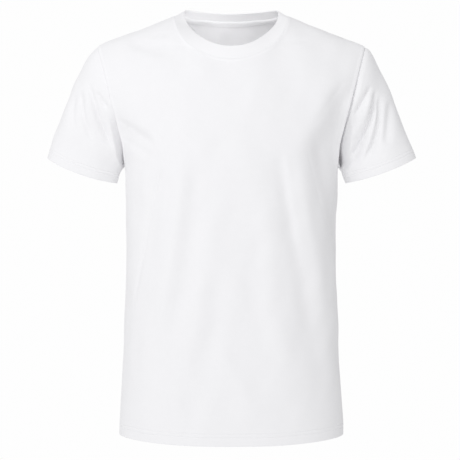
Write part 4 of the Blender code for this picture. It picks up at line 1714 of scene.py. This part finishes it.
# ---- Finishes ----
class ShaderTree:
    """A material and the tree of nodes that is being built for it."""

    def __init__(self, name: str) -> None:
        """Makes a material with one Principled shader.

        Args:
            name: Its name.
        """
        self.material = bpy.data.materials.new(name)
        self.material.use_nodes = True
        self.tree = self.material.node_tree
        self.shader = self.tree.nodes["Principled BSDF"]

    def math(self, kind: str, *values: Socket | float) -> Socket:
        """Adds a sum on up to three values, each a number or another node's result.

        Args:
            kind: The sum's name.
            values: The values.

        Returns:
            The result.
        """
        node = self.tree.nodes.new("ShaderNodeMath")
        node.operation = kind
        for socket, value in zip(node.inputs, values):
            if isinstance(value, (int, float)):
                socket.default_value = value
            else:
                self.tree.links.new(value, socket)
        return node.outputs[0]

    def grain(self) -> tuple[Socket, Socket]:
        """The place on the flat cloth, across and along the wales, in metres.

        Returns:
            The two places.
        """
        place = self.tree.nodes.new("ShaderNodeUVMap")
        place.uv_map = "grain"
        split = self.tree.nodes.new("ShaderNodeSeparateXYZ")
        self.tree.links.new(place.outputs[0], split.inputs[0])
        return split.outputs[0], split.outputs[1]

    def noise(self, size: float, detail: float = 3.0) -> Socket:
        """Uneven patches about as wide as size, between 0 and 1.

        Args:
            size: How wide they are.
            detail: How many finer layers they have.

        Returns:
            The value between 0 and 1.
        """
        place = self.tree.nodes.new("ShaderNodeTexCoord")
        noise = self.tree.nodes.new("ShaderNodeTexNoise")
        noise.inputs["Scale"].default_value = 1 / size
        noise.inputs["Detail"].default_value = detail
        self.tree.links.new(place.outputs["Object"], noise.inputs["Vector"])
        return noise.outputs["Fac"]

    def tint(self, fac: Socket, low: Sequence[float], high: Sequence[float]) -> None:
        """Lets the colour run between two tints.

        Args:
            fac: How far from one to the other.
            low: The tint at 0.
            high: The tint at 1.
        """
        mix = self.tree.nodes.new("ShaderNodeMix")
        mix.data_type = "RGBA"
        mix.inputs["A"].default_value = (*low, 1)
        mix.inputs["B"].default_value = (*high, 1)
        self.tree.links.new(fac, mix.inputs["Factor"])
        self.tree.links.new(mix.outputs["Result"], self.shader.inputs["Base Color"])

    def lighten(self, gain: float) -> None:
        """Makes the colour lighter by a share where a second layer lies behind the cloth.

        Args:
            gain: That share.
        """
        doubled = self.tree.nodes.new("ShaderNodeAttribute")
        doubled.attribute_name = DOUBLED
        scale = self.tree.nodes.new("ShaderNodeVectorMath")
        scale.operation = "SCALE"
        colour = self.shader.inputs["Base Color"]
        self.tree.links.new(colour.links[0].from_socket, scale.inputs[0])
        share = self.math("MULTIPLY_ADD", doubled.outputs["Fac"], gain, 1.0)
        self.tree.links.new(share, scale.inputs["Scale"])
        self.tree.links.new(scale.outputs[0], colour)

    def bump(self, height: Socket, depth: float, strength: float) -> None:
        """Raises the surface by depth times the height.

        Args:
            height: The height.
            depth: How far 1 stands out.
            strength: How much of it shows.
        """
        bump = self.tree.nodes.new("ShaderNodeBump")
        bump.inputs["Strength"].default_value = strength
        bump.inputs["Distance"].default_value = depth
        self.tree.links.new(height, bump.inputs["Height"])
        self.tree.links.new(bump.outputs[0], self.shader.inputs["Normal"])

    def surface(self, roughness: float, sheen: float) -> None:
        """Sets how matt the surface is, and how much its fibres catch the light.

        Args:
            roughness: How matt it is.
            sheen: How much the fibres catch.
        """
        self.shader.inputs["Roughness"].default_value = roughness
        self.shader.inputs["Specular IOR Level"].default_value = 0.25
        self.shader.inputs["Sheen Weight"].default_value = sheen
        self.shader.inputs["Sheen Roughness"].default_value = 0.55


@dataclass(frozen=True)
class JerseyFinish:
    """Fine white single jersey: rows of small V loops, with a soft surface.

    Attributes:
        fuzz: The fuzz's size, and its share.
    """

    name: str = "white jersey"
    light: Triple = (0.889, 0.887, 0.894)
    shade: Triple = (0.870, 0.868, 0.875)
    wale: float = 0.00085
    course: float = 0.00062
    depth: float = 0.00010
    strength: float = 0.35
    doubled: float = 0.035
    loops: float = 0.22
    fuzz: Pair = (0.0016, 0.8)
    patches: float = 0.012

    def material(self) -> Material:
        """Builds the cloth's material.

        Returns:
            The material.
        """
        tree = ShaderTree(self.name)
        across, along = tree.grain()
        wale = tree.math("FRACT", tree.math("DIVIDE", across, self.wale))
        off = tree.math("ABSOLUTE", tree.math("SUBTRACT", wale, 0.5))
        rib = tree.math("SUBTRACT", 0.5, off)
        slant = tree.math("ADD", tree.math("DIVIDE", along, self.course), off)
        loops = tree.math("SINE", tree.math("MULTIPLY", slant, 2 * math.pi))
        knit = tree.math("MULTIPLY_ADD", loops, self.loops, rib)
        fuzz = tree.math("MULTIPLY_ADD", tree.noise(self.fuzz[0]), self.fuzz[1], knit)
        tree.tint(tree.noise(self.patches, detail=4.0), self.shade, self.light)
        tree.lighten(self.doubled)
        tree.bump(fuzz, self.depth, self.strength)
        tree.surface(roughness=0.88, sheen=0.12)
        return tree.material


@dataclass(frozen=True)
class RibFinish:
    """White rib knit, with ridges that run across the band, and painted shade in the grooves between
    them.

    Attributes:
        fuzz: The fuzz's size, and its share.
    """

    name: str = "white rib"
    light: Triple = (0.915, 0.913, 0.920)
    shade: Triple = (0.892, 0.890, 0.897)
    pitch: float = 0.0017
    course: float = 0.0007
    depth: float = 0.00020
    strength: float = 0.4
    loops: float = 0.08
    fuzz: Pair = (0.0016, 0.3)

    def material(self) -> Material:
        """Builds the cloth's material.

        Returns:
            The material.
        """
        tree = ShaderTree(self.name)
        around, across = tree.grain()
        turns = tree.math("MULTIPLY", around, 2 * math.pi / self.pitch)
        ridge = tree.math("MULTIPLY_ADD", tree.math("SINE", turns), 0.5, 0.5)
        loops = tree.math("SINE", tree.math("MULTIPLY", across, 2 * math.pi / self.course))
        height = tree.math("MULTIPLY_ADD", loops, self.loops, ridge)
        height = tree.math("MULTIPLY_ADD", tree.noise(self.fuzz[0]), self.fuzz[1], height)
        # painted shade: the colour follows the ridges, darker in the grooves and lighter on the tops
        tree.tint(tree.math("MULTIPLY_ADD", ridge, 0.7, 0.3), self.shade, self.light)
        tree.bump(height, self.depth, self.strength)
        tree.surface(roughness=0.88, sheen=0.12)
        return tree.material


@dataclass(frozen=True)
class TapeFinish:
    """Plain white tape with a fine twill, with painted shade in the twill's grooves."""

    name: str = "white tape"
    light: Triple = (0.905, 0.903, 0.910)
    shade: Triple = (0.872, 0.870, 0.877)
    pitch: float = 0.0009
    depth: float = 0.00008

    def material(self) -> Material:
        """Builds the tape's material.

        Returns:
            The material.
        """
        tree = ShaderTree(self.name)
        along, across = tree.grain()
        slant = tree.math("ADD", along, across)
        twill = tree.math("SINE", tree.math("MULTIPLY", slant, 2 * math.pi / self.pitch))
        # painted shade: the colour follows the twill, darker in its grooves and lighter on its
        # ridges
        tree.tint(tree.math("MULTIPLY_ADD", twill, 0.5, 0.5), self.shade, self.light)
        tree.bump(twill, self.depth, strength=0.4)
        tree.surface(roughness=0.9, sheen=0.08)
        return tree.material


@dataclass(frozen=True)
class ThreadFinish:
    """White spun polyester sewing thread, with painted shade where its fibres dip."""

    name: str = "white thread"
    light: Triple = (0.89, 0.888, 0.90)
    shade: Triple = (0.83, 0.828, 0.840)
    fibre: float = 0.0005
    depth: float = 0.00006

    def material(self) -> Material:
        """Builds the thread's material.

        Returns:
            The material.
        """
        tree = ShaderTree(self.name)
        fibres = tree.noise(self.fibre, detail=2.0)
        # painted shade: the colour follows the same noise as the bump, darker where the surface dips
        tree.tint(fibres, self.shade, self.light)
        tree.bump(fibres, self.depth, strength=0.5)
        tree.surface(roughness=0.6, sheen=0.2)
        return tree.material


# ---- Studio ----
@dataclass(frozen=True)
class Lamp:
    """A large soft lamp.

    Attributes:
        place: Where it stands.
        aim: What it points at.
        size: The width of its square.
        power: In watts.
        tint: Its colour.
    """

    name: str
    place: Triple
    aim: Triple
    size: float
    power: float
    tint: Triple = (1.0, 1.0, 1.0)

    def add(self) -> None:
        """Adds the lamp to the scene."""
        light = bpy.data.lights.new(self.name, "AREA")
        light.shape = "SQUARE"
        light.size = self.size
        light.energy = self.power
        light.color = self.tint
        obj = bpy.data.objects.new(self.name, light)
        obj.visible_camera = False
        obj.location = self.place
        way = Vector(self.aim) - Vector(self.place)
        obj.rotation_euler = way.to_track_quat("-Z", "Y").to_euler()
        bpy.context.scene.collection.objects.link(obj)


@dataclass(frozen=True)
class Studio:
    """A white studio that is lit from the front and the left, and the camera in it.

    Attributes:
        backdrop: The brightness behind the garment.
        front: The brightness of the room in front of it.
        back: The brightness of the room on the other side.
        soft: How gradually the one goes over into the other.
        right: Towards the far right, at 1: where the room starts to dim, where it has done so, and
            the share that it lacks from there.
        left: The same towards the far left.
        above: The same towards the ceiling.
        tint: The room's colour.
        bounces: How often light is followed from cloth to cloth.
        backdrop_edge: How far round to the back the backdrop begins and is full.
        camera_place: Where the camera stands; it looks level along +Y.
        lens: Its focal length in millimetres, on a sensor 36 mm wide.
        lamps: The lamps.
    """

    backdrop: float = 0.990
    front: float = 1.0
    back: float = 0.845
    soft: float = 0.503
    right: Triple = (0.42, 0.80, 0.33)
    left: Triple = (0.40, 0.95, 0.13)
    above: Triple = (0.33, 1.05, 0.35)
    tint: Triple = (0.996, 0.996, 1.008)
    bounces: int = 10
    backdrop_edge: Pair = (0.93, 0.97)
    camera_place: Triple = (-0.00215, -2.4, -0.3698)
    lens: float = 109.45
    lamps: tuple[Lamp, ...] = (
        Lamp("key", (-1.02, -1.97, 1.67), (0.0, 0.0, -0.35), 1.4, 17.5, (1.0, 1.0, 1.012)),
        Lamp("inside", (-0.030, -0.030, -0.042), (-0.030, 0.055, -0.024), 0.06, 0.041),
    )

    def _range(
        self,
        tree: bpy.types.NodeTree,
        value: Socket,
        places: Pair,
        results: Pair,
    ) -> Socket:
        """Goes from one result to the other, smoothly, where a value runs between two places.

        Args:
            tree: The world's nodes.
            value: The value.
            places: The two places.
            results: The two results.

        Returns:
            What the value leads to.
        """
        node = tree.nodes.new("ShaderNodeMapRange")
        node.interpolation_type = "SMOOTHSTEP"
        node.inputs["From Min"].default_value, node.inputs["From Max"].default_value = places
        node.inputs["To Min"].default_value, node.inputs["To Max"].default_value = results
        tree.links.new(value, node.inputs["Value"])
        return node.outputs["Result"]

    def _world(self) -> None:
        """Surrounds the garment with soft light, stronger in front and weaker on the right."""
        world = bpy.data.worlds.new("studio")
        bpy.context.scene.world = world
        world.use_nodes = True
        tree = world.node_tree
        place = tree.nodes.new("ShaderNodeTexCoord")
        split = tree.nodes.new("ShaderNodeSeparateXYZ")
        tree.links.new(place.outputs["Generated"], split.inputs[0])
        x, y, z = split.outputs
        room = self._range(tree, y, (-self.soft, self.soft), (self.front, self.back))
        dimmed = ((x, 1, self.right), (x, -1, self.left), (z, 1, self.above))
        for way, sign, (begin, end, loss) in dimmed:
            places, results = (sign * begin, sign * end), (1.0, 1 - loss)
            if sign < 0:
                places, results = places[::-1], results[::-1]
            share = self._range(tree, way, places, results)
            times = tree.nodes.new("ShaderNodeMath")
            times.operation = "MULTIPLY"
            tree.links.new(room, times.inputs[0])
            tree.links.new(share, times.inputs[1])
            room = times.outputs[0]
        tinted = tree.nodes.new("ShaderNodeVectorMath")
        tinted.operation = "SCALE"
        tinted.inputs[0].default_value = self.tint
        tree.links.new(room, tinted.inputs["Scale"])
        behind = self._range(tree, y, self.backdrop_edge, (0, 1))
        mix = tree.nodes.new("ShaderNodeMix")
        mix.data_type = "RGBA"
        mix.inputs["B"].default_value = (self.backdrop, self.backdrop, self.backdrop, 1)
        tree.links.new(behind, mix.inputs["Factor"])
        tree.links.new(tinted.outputs[0], mix.inputs["A"])
        tree.links.new(mix.outputs["Result"], tree.nodes["Background"].inputs["Color"])
        tree.nodes["Background"].inputs["Strength"].default_value = 1.0

    def _camera(self) -> None:
        """Adds the camera, level and square to the garment's front."""
        camera = bpy.data.cameras.new("camera")
        camera.sensor_width = 36.0
        camera.lens = self.lens
        obj = bpy.data.objects.new("camera", camera)
        obj.location = self.camera_place
        obj.rotation_euler = (math.pi / 2, 0, 0)
        bpy.context.scene.collection.objects.link(obj)
        bpy.context.scene.camera = obj

    def add(self) -> None:
        """Sets up the world, the lamps and the camera."""
        self._world()
        for lamp in self.lamps:
            lamp.add()
        self._camera()
        scene = bpy.context.scene
        scene.view_settings.view_transform = "Standard"
        scene.cycles.max_bounces = self.bounces
        scene.cycles.diffuse_bounces = self.bounces


# ---- The garment's own folds ----
DENTS = (
    Dent((0.202, -0.208), (0.042, 0.052), 0.013),
    Dent((0.212, -0.225), (0.018, 0.045), 0.005),
    Dent((-0.2, -0.21), (0.034, 0.05), 0.005),
)
FRONT_FOLDS = (
    Fold((0.142, -0.205), (0.194, -0.43), (0.018, 0.016), -0.007, 0.0),
    Fold((0.192, -0.13), (0.156, -0.3), (0.022, 0.02), -0.0045, 0.0),
    Fold((0.11, -0.235), (0.17, -0.56), (0.013, 0.017), 0.0032, 0.004),
    Fold((0.08, -0.24), (0.158, -0.64), (0.013, 0.021), -0.005, 0.004),
    Fold((0.184, -0.1), (0.11, -0.258), (0.018, 0.018), 0.0032, 0.0),
    Fold((0.05, -0.3), (0.095, -0.69), (0.018, 0.026), 0.003),
    Fold((-0.08, -0.24), (-0.14, -0.59), (0.014, 0.02), 0.0048, -0.012),
    Fold((-0.115, -0.26), (-0.165, -0.5), (0.01, 0.014), -0.0025, -0.003),
    Fold((-0.056, -0.245), (-0.122, -0.62), (0.016, 0.021), -0.0032, -0.014),
    Fold((-0.03, -0.32), (-0.1, -0.66), (0.016, 0.024), 0.0025, -0.012),
    Fold((-0.012, -0.44), (-0.07, -0.7), (0.016, 0.02), -0.002, -0.006),
    Fold((-0.19, -0.2), (-0.13, -0.235), (0.012, 0.02), -0.0045),
    Fold((0.19, -0.195), (0.128, -0.245), (0.014, 0.022), -0.002),
    Fold((-0.175, -0.05), (-0.085, -0.075), (0.01, 0.014), -0.003, 0.003),
)
BACK_FOLDS = (
    Fold((0.15, -0.18), (0.06, -0.42), (0.016, 0.022), -0.005, -0.01),
    Fold((-0.15, -0.18), (-0.07, -0.43), (0.016, 0.022), -0.005, 0.01),
    Fold((0.118, -0.23), (0.105, -0.64), (0.016, 0.024), 0.005, -0.006),
    Fold((-0.122, -0.25), (-0.11, -0.65), (0.016, 0.024), 0.0045, 0.006),
    Fold((0.03, -0.33), (0.052, -0.69), (0.018, 0.024), -0.0045, 0.004),
    Fold((-0.025, -0.36), (-0.05, -0.69), (0.018, 0.024), -0.004, -0.004),
    Fold((0.19, -0.2), (0.12, -0.19), (0.012, 0.018), -0.005, 0.004),
    Fold((-0.19, -0.2), (-0.125, -0.185), (0.012, 0.018), -0.005, -0.004),
)
LONG = (0.25, 0.3)
DEEP = (0.25, 0.2)
LEFT_SLEEVE_FOLDS = (
    Fold((0.2345, -0.128), (0.2062, -0.18), (0.005, 0.006), -0.0036, 0.0, fades=LONG),
    Fold((0.2443, -0.133), (0.1985, -0.259), (0.006, 0.007), -0.0064, -0.008, fades=DEEP),
    Fold((0.2514, -0.14), (0.227, -0.256), (0.0065, 0.008), -0.0062, -0.007, fades=DEEP),
    Fold((0.2698, -0.148), (0.26, -0.232), (0.0075, 0.0085), -0.0034, -0.002, fades=LONG),
    Fold((0.236, -0.136), (0.2, -0.22), (0.0055, 0.006), 0.003, -0.004, fades=DEEP),
    Fold((0.248, -0.145), (0.215, -0.257), (0.006, 0.007), 0.0032, -0.008, fades=DEEP),
)
RIGHT_SLEEVE_FOLDS = (
    Fold((0.2401, -0.12), (0.1991, -0.234), (0.005, 0.006), -0.0036, -0.0044, fades=LONG),
    Fold((0.2542, -0.131), (0.231, -0.223), (0.0055, 0.0065), -0.0032, -0.0067, fades=LONG),
    Fold((0.2627, -0.134), (0.264, -0.206), (0.006, 0.007), -0.0022, -0.0053, fades=LONG),
    Fold((0.2274, -0.138), (0.2065, -0.168), (0.004, 0.0045), -0.0022, fades=LONG),
)
LEFT_HOLLOW = ArmpitHollow((
    (-0.07, 0.0, 0.003, 0.0, 0.0006, 0.0),
    (-0.095, 0.0, 0.003, 0.0, 0.0006, 0.001),
    (-0.13, 0.0, 0.003, 0.0, 0.001, 0.003),
    (-0.165, 0.0, 0.006, 0.0015, 0.0014, 0.005),
    (-0.1876, 0.0005, 0.012, 0.008, 0.0018, 0.008),
    (-0.2042, 0.001, 0.016, 0.013, 0.002, 0.012),
    (-0.2208, 0.0015, 0.018, 0.0175, 0.0025, 0.016),
    (-0.2373, 0.002, 0.02, 0.021, 0.0042, 0.024),
    (-0.2539, 0.0025, 0.022, 0.0225, 0.007, 0.026),
    (-0.2704, 0.0015, 0.017, 0.0175, 0.006, 0.022),
    (-0.285, 0.001, 0.01, 0.005, 0.003, 0.006),
))  # fmt: skip
RIGHT_HOLLOW = ArmpitHollow((
    (-0.16, 0.0, 0.014, 0.0, 0.001, 0.0),
    (-0.175, 0.0, 0.014, 0.004, 0.001, 0.0),
    (-0.1835, 0.0, 0.013, 0.008, 0.001, 0.0),
    (-0.1919, 0.0, 0.013, 0.012, 0.001, 0.0),
    (-0.2004, 0.0, 0.014, 0.015, 0.001, 0.0),
    (-0.2173, 0.0, 0.014, 0.019, 0.001, 0.001),
    (-0.2343, 0.0, 0.013, 0.021, 0.0015, 0.003),
    (-0.2512, 0.0, 0.0115, 0.02, 0.0022, 0.005),
    (-0.265, 0.0, 0.0085, 0.014, 0.002, 0.004),
    (-0.278, 0.0, 0.006, 0.004, 0.0015, 0.001),
))  # fmt: skip
SLEEVE_BACK_FOLDS = (
    Fold((0.25, -0.115), (0.22, -0.245), (0.008, 0.01), -0.0045, 0.006),
    Fold((0.268, -0.13), (0.248, -0.25), (0.008, 0.01), -0.003, 0.005),
    Fold((0.208, -0.17), (0.191, -0.28), (0.009, 0.012), -0.006, 0.002),
)

SHARP = FoldShape.PINCHED
SMALL_FRONT_FOLDS = (
    # The crease that comes down from the right armpit, and the drags round it.
    Fold((-0.112, -0.245), (-0.167, -0.515), (0.0024, 0.003), -0.002, 0.002, SHARP, (0.22, 0.3)),
    Fold((-0.192, -0.182), (-0.118, -0.232), (0.005, 0.008), -0.0022, 0.002, SHARP),
    Fold((-0.188, -0.212), (-0.122, -0.252), (0.0045, 0.007), -0.0016, 0.002, SHARP),
    Fold((-0.15, -0.19), (-0.092, -0.262), (0.006, 0.008), 0.0012),
    # The same on the left, stronger.
    Fold((0.122, -0.225), (0.172, -0.4), (0.005, 0.006), -0.0008, 0.0, SHARP),
    Fold((0.19, -0.12), (0.13, -0.205), (0.006, 0.008), -0.001, 0.0, SHARP),
    Fold((0.088, -0.235), (0.128, -0.44), (0.006, 0.008), 0.0014, 0.003),
    # Wrinkles between the neck and the right shoulder.
    Fold((-0.139, -0.045), (-0.096, -0.038), (0.0035, 0.004), -0.0012, 0.0, SHARP),
    Fold((-0.133, -0.059), (-0.062, -0.064), (0.004, 0.0045), -0.0014, 0.001, SHARP),
    Fold((0.128, -0.052), (0.08, -0.06), (0.004, 0.0045), -0.001, 0.001, SHARP),
    # Soft rolls over the lower front.
    Fold((-0.02, -0.56), (0.05, -0.69), (0.014, 0.018), 0.0016),
    Fold((0.02, -0.43), (0.075, -0.62), (0.012, 0.016), -0.0012),
    Fold((-0.1, -0.56), (-0.05, -0.7), (0.012, 0.016), -0.0014),
)
SMALL_BACK_FOLDS = (
    Fold((0.186, -0.185), (0.085, -0.215), (0.006, 0.009), -0.002, 0.004, SHARP),
    Fold((-0.188, -0.18), (-0.09, -0.225), (0.006, 0.009), -0.0022, -0.004, SHARP),
    Fold((0.18, -0.23), (0.1, -0.3), (0.006, 0.009), -0.0016, 0.003, SHARP),
    Fold((-0.182, -0.225), (-0.11, -0.31), (0.006, 0.009), -0.0018, -0.003, SHARP),
    Fold((0.06, -0.12), (-0.05, -0.128), (0.008, 0.009), -0.0012, 0.004),
    Fold((0.08, -0.4), (0.02, -0.6), (0.012, 0.016), 0.0014, 0.004),
    Fold((-0.075, -0.42), (-0.018, -0.62), (0.012, 0.016), 0.0016, -0.004),
    Fold((0.14, -0.52), (0.12, -0.7), (0.01, 0.014), -0.0016),
    Fold((-0.145, -0.5), (-0.125, -0.7), (0.01, 0.014), -0.0016),
)
SMALL_LEFT_SLEEVE = (
    Fold((0.2345, -0.128), (0.2062, -0.176), (0.0034, 0.004), -0.0012, 0.0, SHARP, LONG),
    Fold((0.2443, -0.133), (0.1991, -0.254), (0.0036, 0.0042), -0.0025, -0.008, SHARP, DEEP),
    Fold((0.2514, -0.14), (0.229, -0.248), (0.0036, 0.0044), -0.0022, -0.007, SHARP, DEEP),
    Fold((0.2698, -0.148), (0.2613, -0.224), (0.004, 0.0048), -0.0008, -0.002, SHARP, LONG),
)
SMALL_RIGHT_SLEEVE = (
    Fold((0.2401, -0.12), (0.1991, -0.234), (0.0034, 0.0038), -0.0018, -0.0044, SHARP, LONG),
    Fold((0.2542, -0.131), (0.231, -0.223), (0.0034, 0.004), -0.0015, -0.0067, SHARP, LONG),
    Fold((0.2627, -0.134), (0.264, -0.206), (0.0036, 0.0042), -0.001, -0.0053, SHARP, LONG),
    Fold((0.2274, -0.138), (0.2065, -0.168), (0.0034, 0.0036), -0.0013, 0.0, SHARP, LONG),
)
SMALL_SLEEVE_BACK = (
    Fold((0.238, -0.125), (0.21, -0.23), (0.004, 0.005), -0.0016, 0.003, SHARP),
    Fold((0.26, -0.15), (0.245, -0.25), (0.005, 0.006), -0.0012, 0.003, SHARP),
)


# ---- The whole garment ----
@dataclass(frozen=True)
class Cut:
    """What a piece was cut to before it was sewn.

    Attributes:
        width: The width of what shows, laid flat.
        length: Its length.
        area: Its area.
        held: How the cloth is held.
    """

    width: float
    length: float
    area: float
    held: str = "hung"


@dataclass
class TShirt:
    """The crew neck t-shirt: two panels, two sleeves, the neck rib and the neck tape."""

    hem: HemStitching = HemStitching(height=0.0195, rows=(0.0127, 0.0185))
    cuff: HemStitching = HemStitching(height=0.0172, rows=(0.0110, 0.0160))

    def build(self) -> list[Object]:
        """Makes every piece and dresses it in its finish.

        Returns:
            The pieces.
        """
        grid = BodyGrid(Figure(), self.hem)
        jersey, rib = JerseyFinish().material(), RibFinish().material()
        tape, thread = TapeFinish().material(), ThreadFinish().material()
        front = Panel(
            "front", "front_panel", grid, FRONT, FRONT_FOLDS, SMALL_FRONT_FOLDS,
            Ripple(11, 0.00018), roll=0.0017,
        )  # fmt: skip
        back = Panel("back", "back_panel", grid, BACK, BACK_FOLDS, SMALL_BACK_FOLDS, Ripple(12))
        left = Sleeve(
            "sleeve_left", "left_sleeve", grid, 1, 0.0052, LEFT_SLEEVE_FOLDS, SLEEVE_BACK_FOLDS,
            SMALL_LEFT_SLEEVE, SMALL_SLEEVE_BACK, Ripple(13), self.cuff, LEFT_HOLLOW, 0.0016,
        )  # fmt: skip
        right = Sleeve(
            "sleeve_right", "right_sleeve", grid, -1, 0.0072, RIGHT_SLEEVE_FOLDS, SLEEVE_BACK_FOLDS,
            SMALL_RIGHT_SLEEVE, SMALL_SLEEVE_BACK, Ripple(14), self.cuff, RIGHT_HOLLOW, 0.0006,
        )  # fmt: skip
        collar = NeckRib("neck_band", "neck_rib", grid)
        cloths = {piece.name: piece.build() for piece in (front, back, left, right, collar)}
        seams = Seams()
        seams.join(list(cloths.values()))
        shells: dict[str, Object] = {}
        for name, cloth in cloths.items():
            shells[name] = seams.shell(cloth, rib if name == collar.name else jersey)
        below, above = (seams.faces_of(cloths[name])[1] for name in (back.name, collar.name))
        quads = list(cloths[back.name].quads)
        quads += [tuple(len(below) + at for at in quad) for quad in cloths[collar.name].quads]
        skin = BVHTree.FromPolygons(np.concatenate([below, above]).tolist(), quads)
        strip = NeckTape("neck_tape", "back_neck_tape", grid, skin).build()
        shells[strip.name] = Seams().shell(strip, tape)
        sewn = self._sew(cloths, (front, back, left, right), thread)
        return [*shells.values(), *sewn.values()]

    def _sew(
        self,
        cloths: dict[str, Cloth],
        pieces: tuple[Panel, Panel, Sleeve, Sleeve],
        thread: Material,
    ) -> dict[str, Object]:
        """Sews the hems and the neck.

        Args:
            cloths: The cut pieces by name.
            pieces: The panels and the sleeves.
            thread: The thread's material.

        Returns:
            The thread pieces by name.
        """
        front, back, left, right = pieces
        sewn: dict[str, Object] = {}
        for name, of in (
            ("hem_stitches", (front, back)),
            ("cuff_stitches_left", (left,)),
            ("cuff_stitches_right", (right,)),
        ):
            row = Stitches(name)
            for piece in of:
                cloth = cloths[piece.name]
                ways = cloth.normals()
                for line in piece.stitch_rows:
                    row.sew(cloth.points[line], ways[line])
            sewn[name] = row.add(thread)
        row = Stitches("neck_stitches")
        for piece in (front, back):
            row.sew(*self._beside_neck(piece, cloths[piece.name]))
        sewn["neck_stitches"] = row.add(thread)
        for obj in sewn.values():
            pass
        return sewn

    def _beside_neck(self, piece: Panel, cloth: Cloth) -> tuple[Floats, Floats]:
        """The line of the topstitching beside the neck seam, and the cloth's normals there.

        Args:
            piece: The panel.
            cloth: Its cloth.

        Returns:
            The line's points, and the normals.
        """
        seam = piece.grid.neck(piece.face)
        seam = np.concatenate([seam[::-1], seam[1:] * (-1, 1, 1)])
        skin = BVHTree.FromPolygons(cloth.points.tolist(), cloth.quads)
        line, ways = [], []
        for k, point in enumerate(seam):
            before, after = seam[max(k - 1, 0)], seam[min(k + 1, len(seam) - 1)]
            _, normal, _, _ = skin.find_nearest(Vector(point))
            aside = unit(np.cross(after - before, np.array(normal))) * piece.face.sign
            near, normal, _, _ = skin.find_nearest(Vector(point + aside * piece.neck_seam_row))
            line.append(np.array(near))
            ways.append(np.array(normal))
        return np.array(line), np.array(ways)


def main() -> None:
    """Builds the t-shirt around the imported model, and sets it in the studio."""
    logging.basicConfig(level=logging.INFO, format="%(name)s: %(message)s")
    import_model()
    for piece in TShirt().build():
        LOG.info("%s: %d points", piece.name, len(piece.data.vertices))
    Studio().add()
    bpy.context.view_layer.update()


if __name__ == "__main__":
    main()
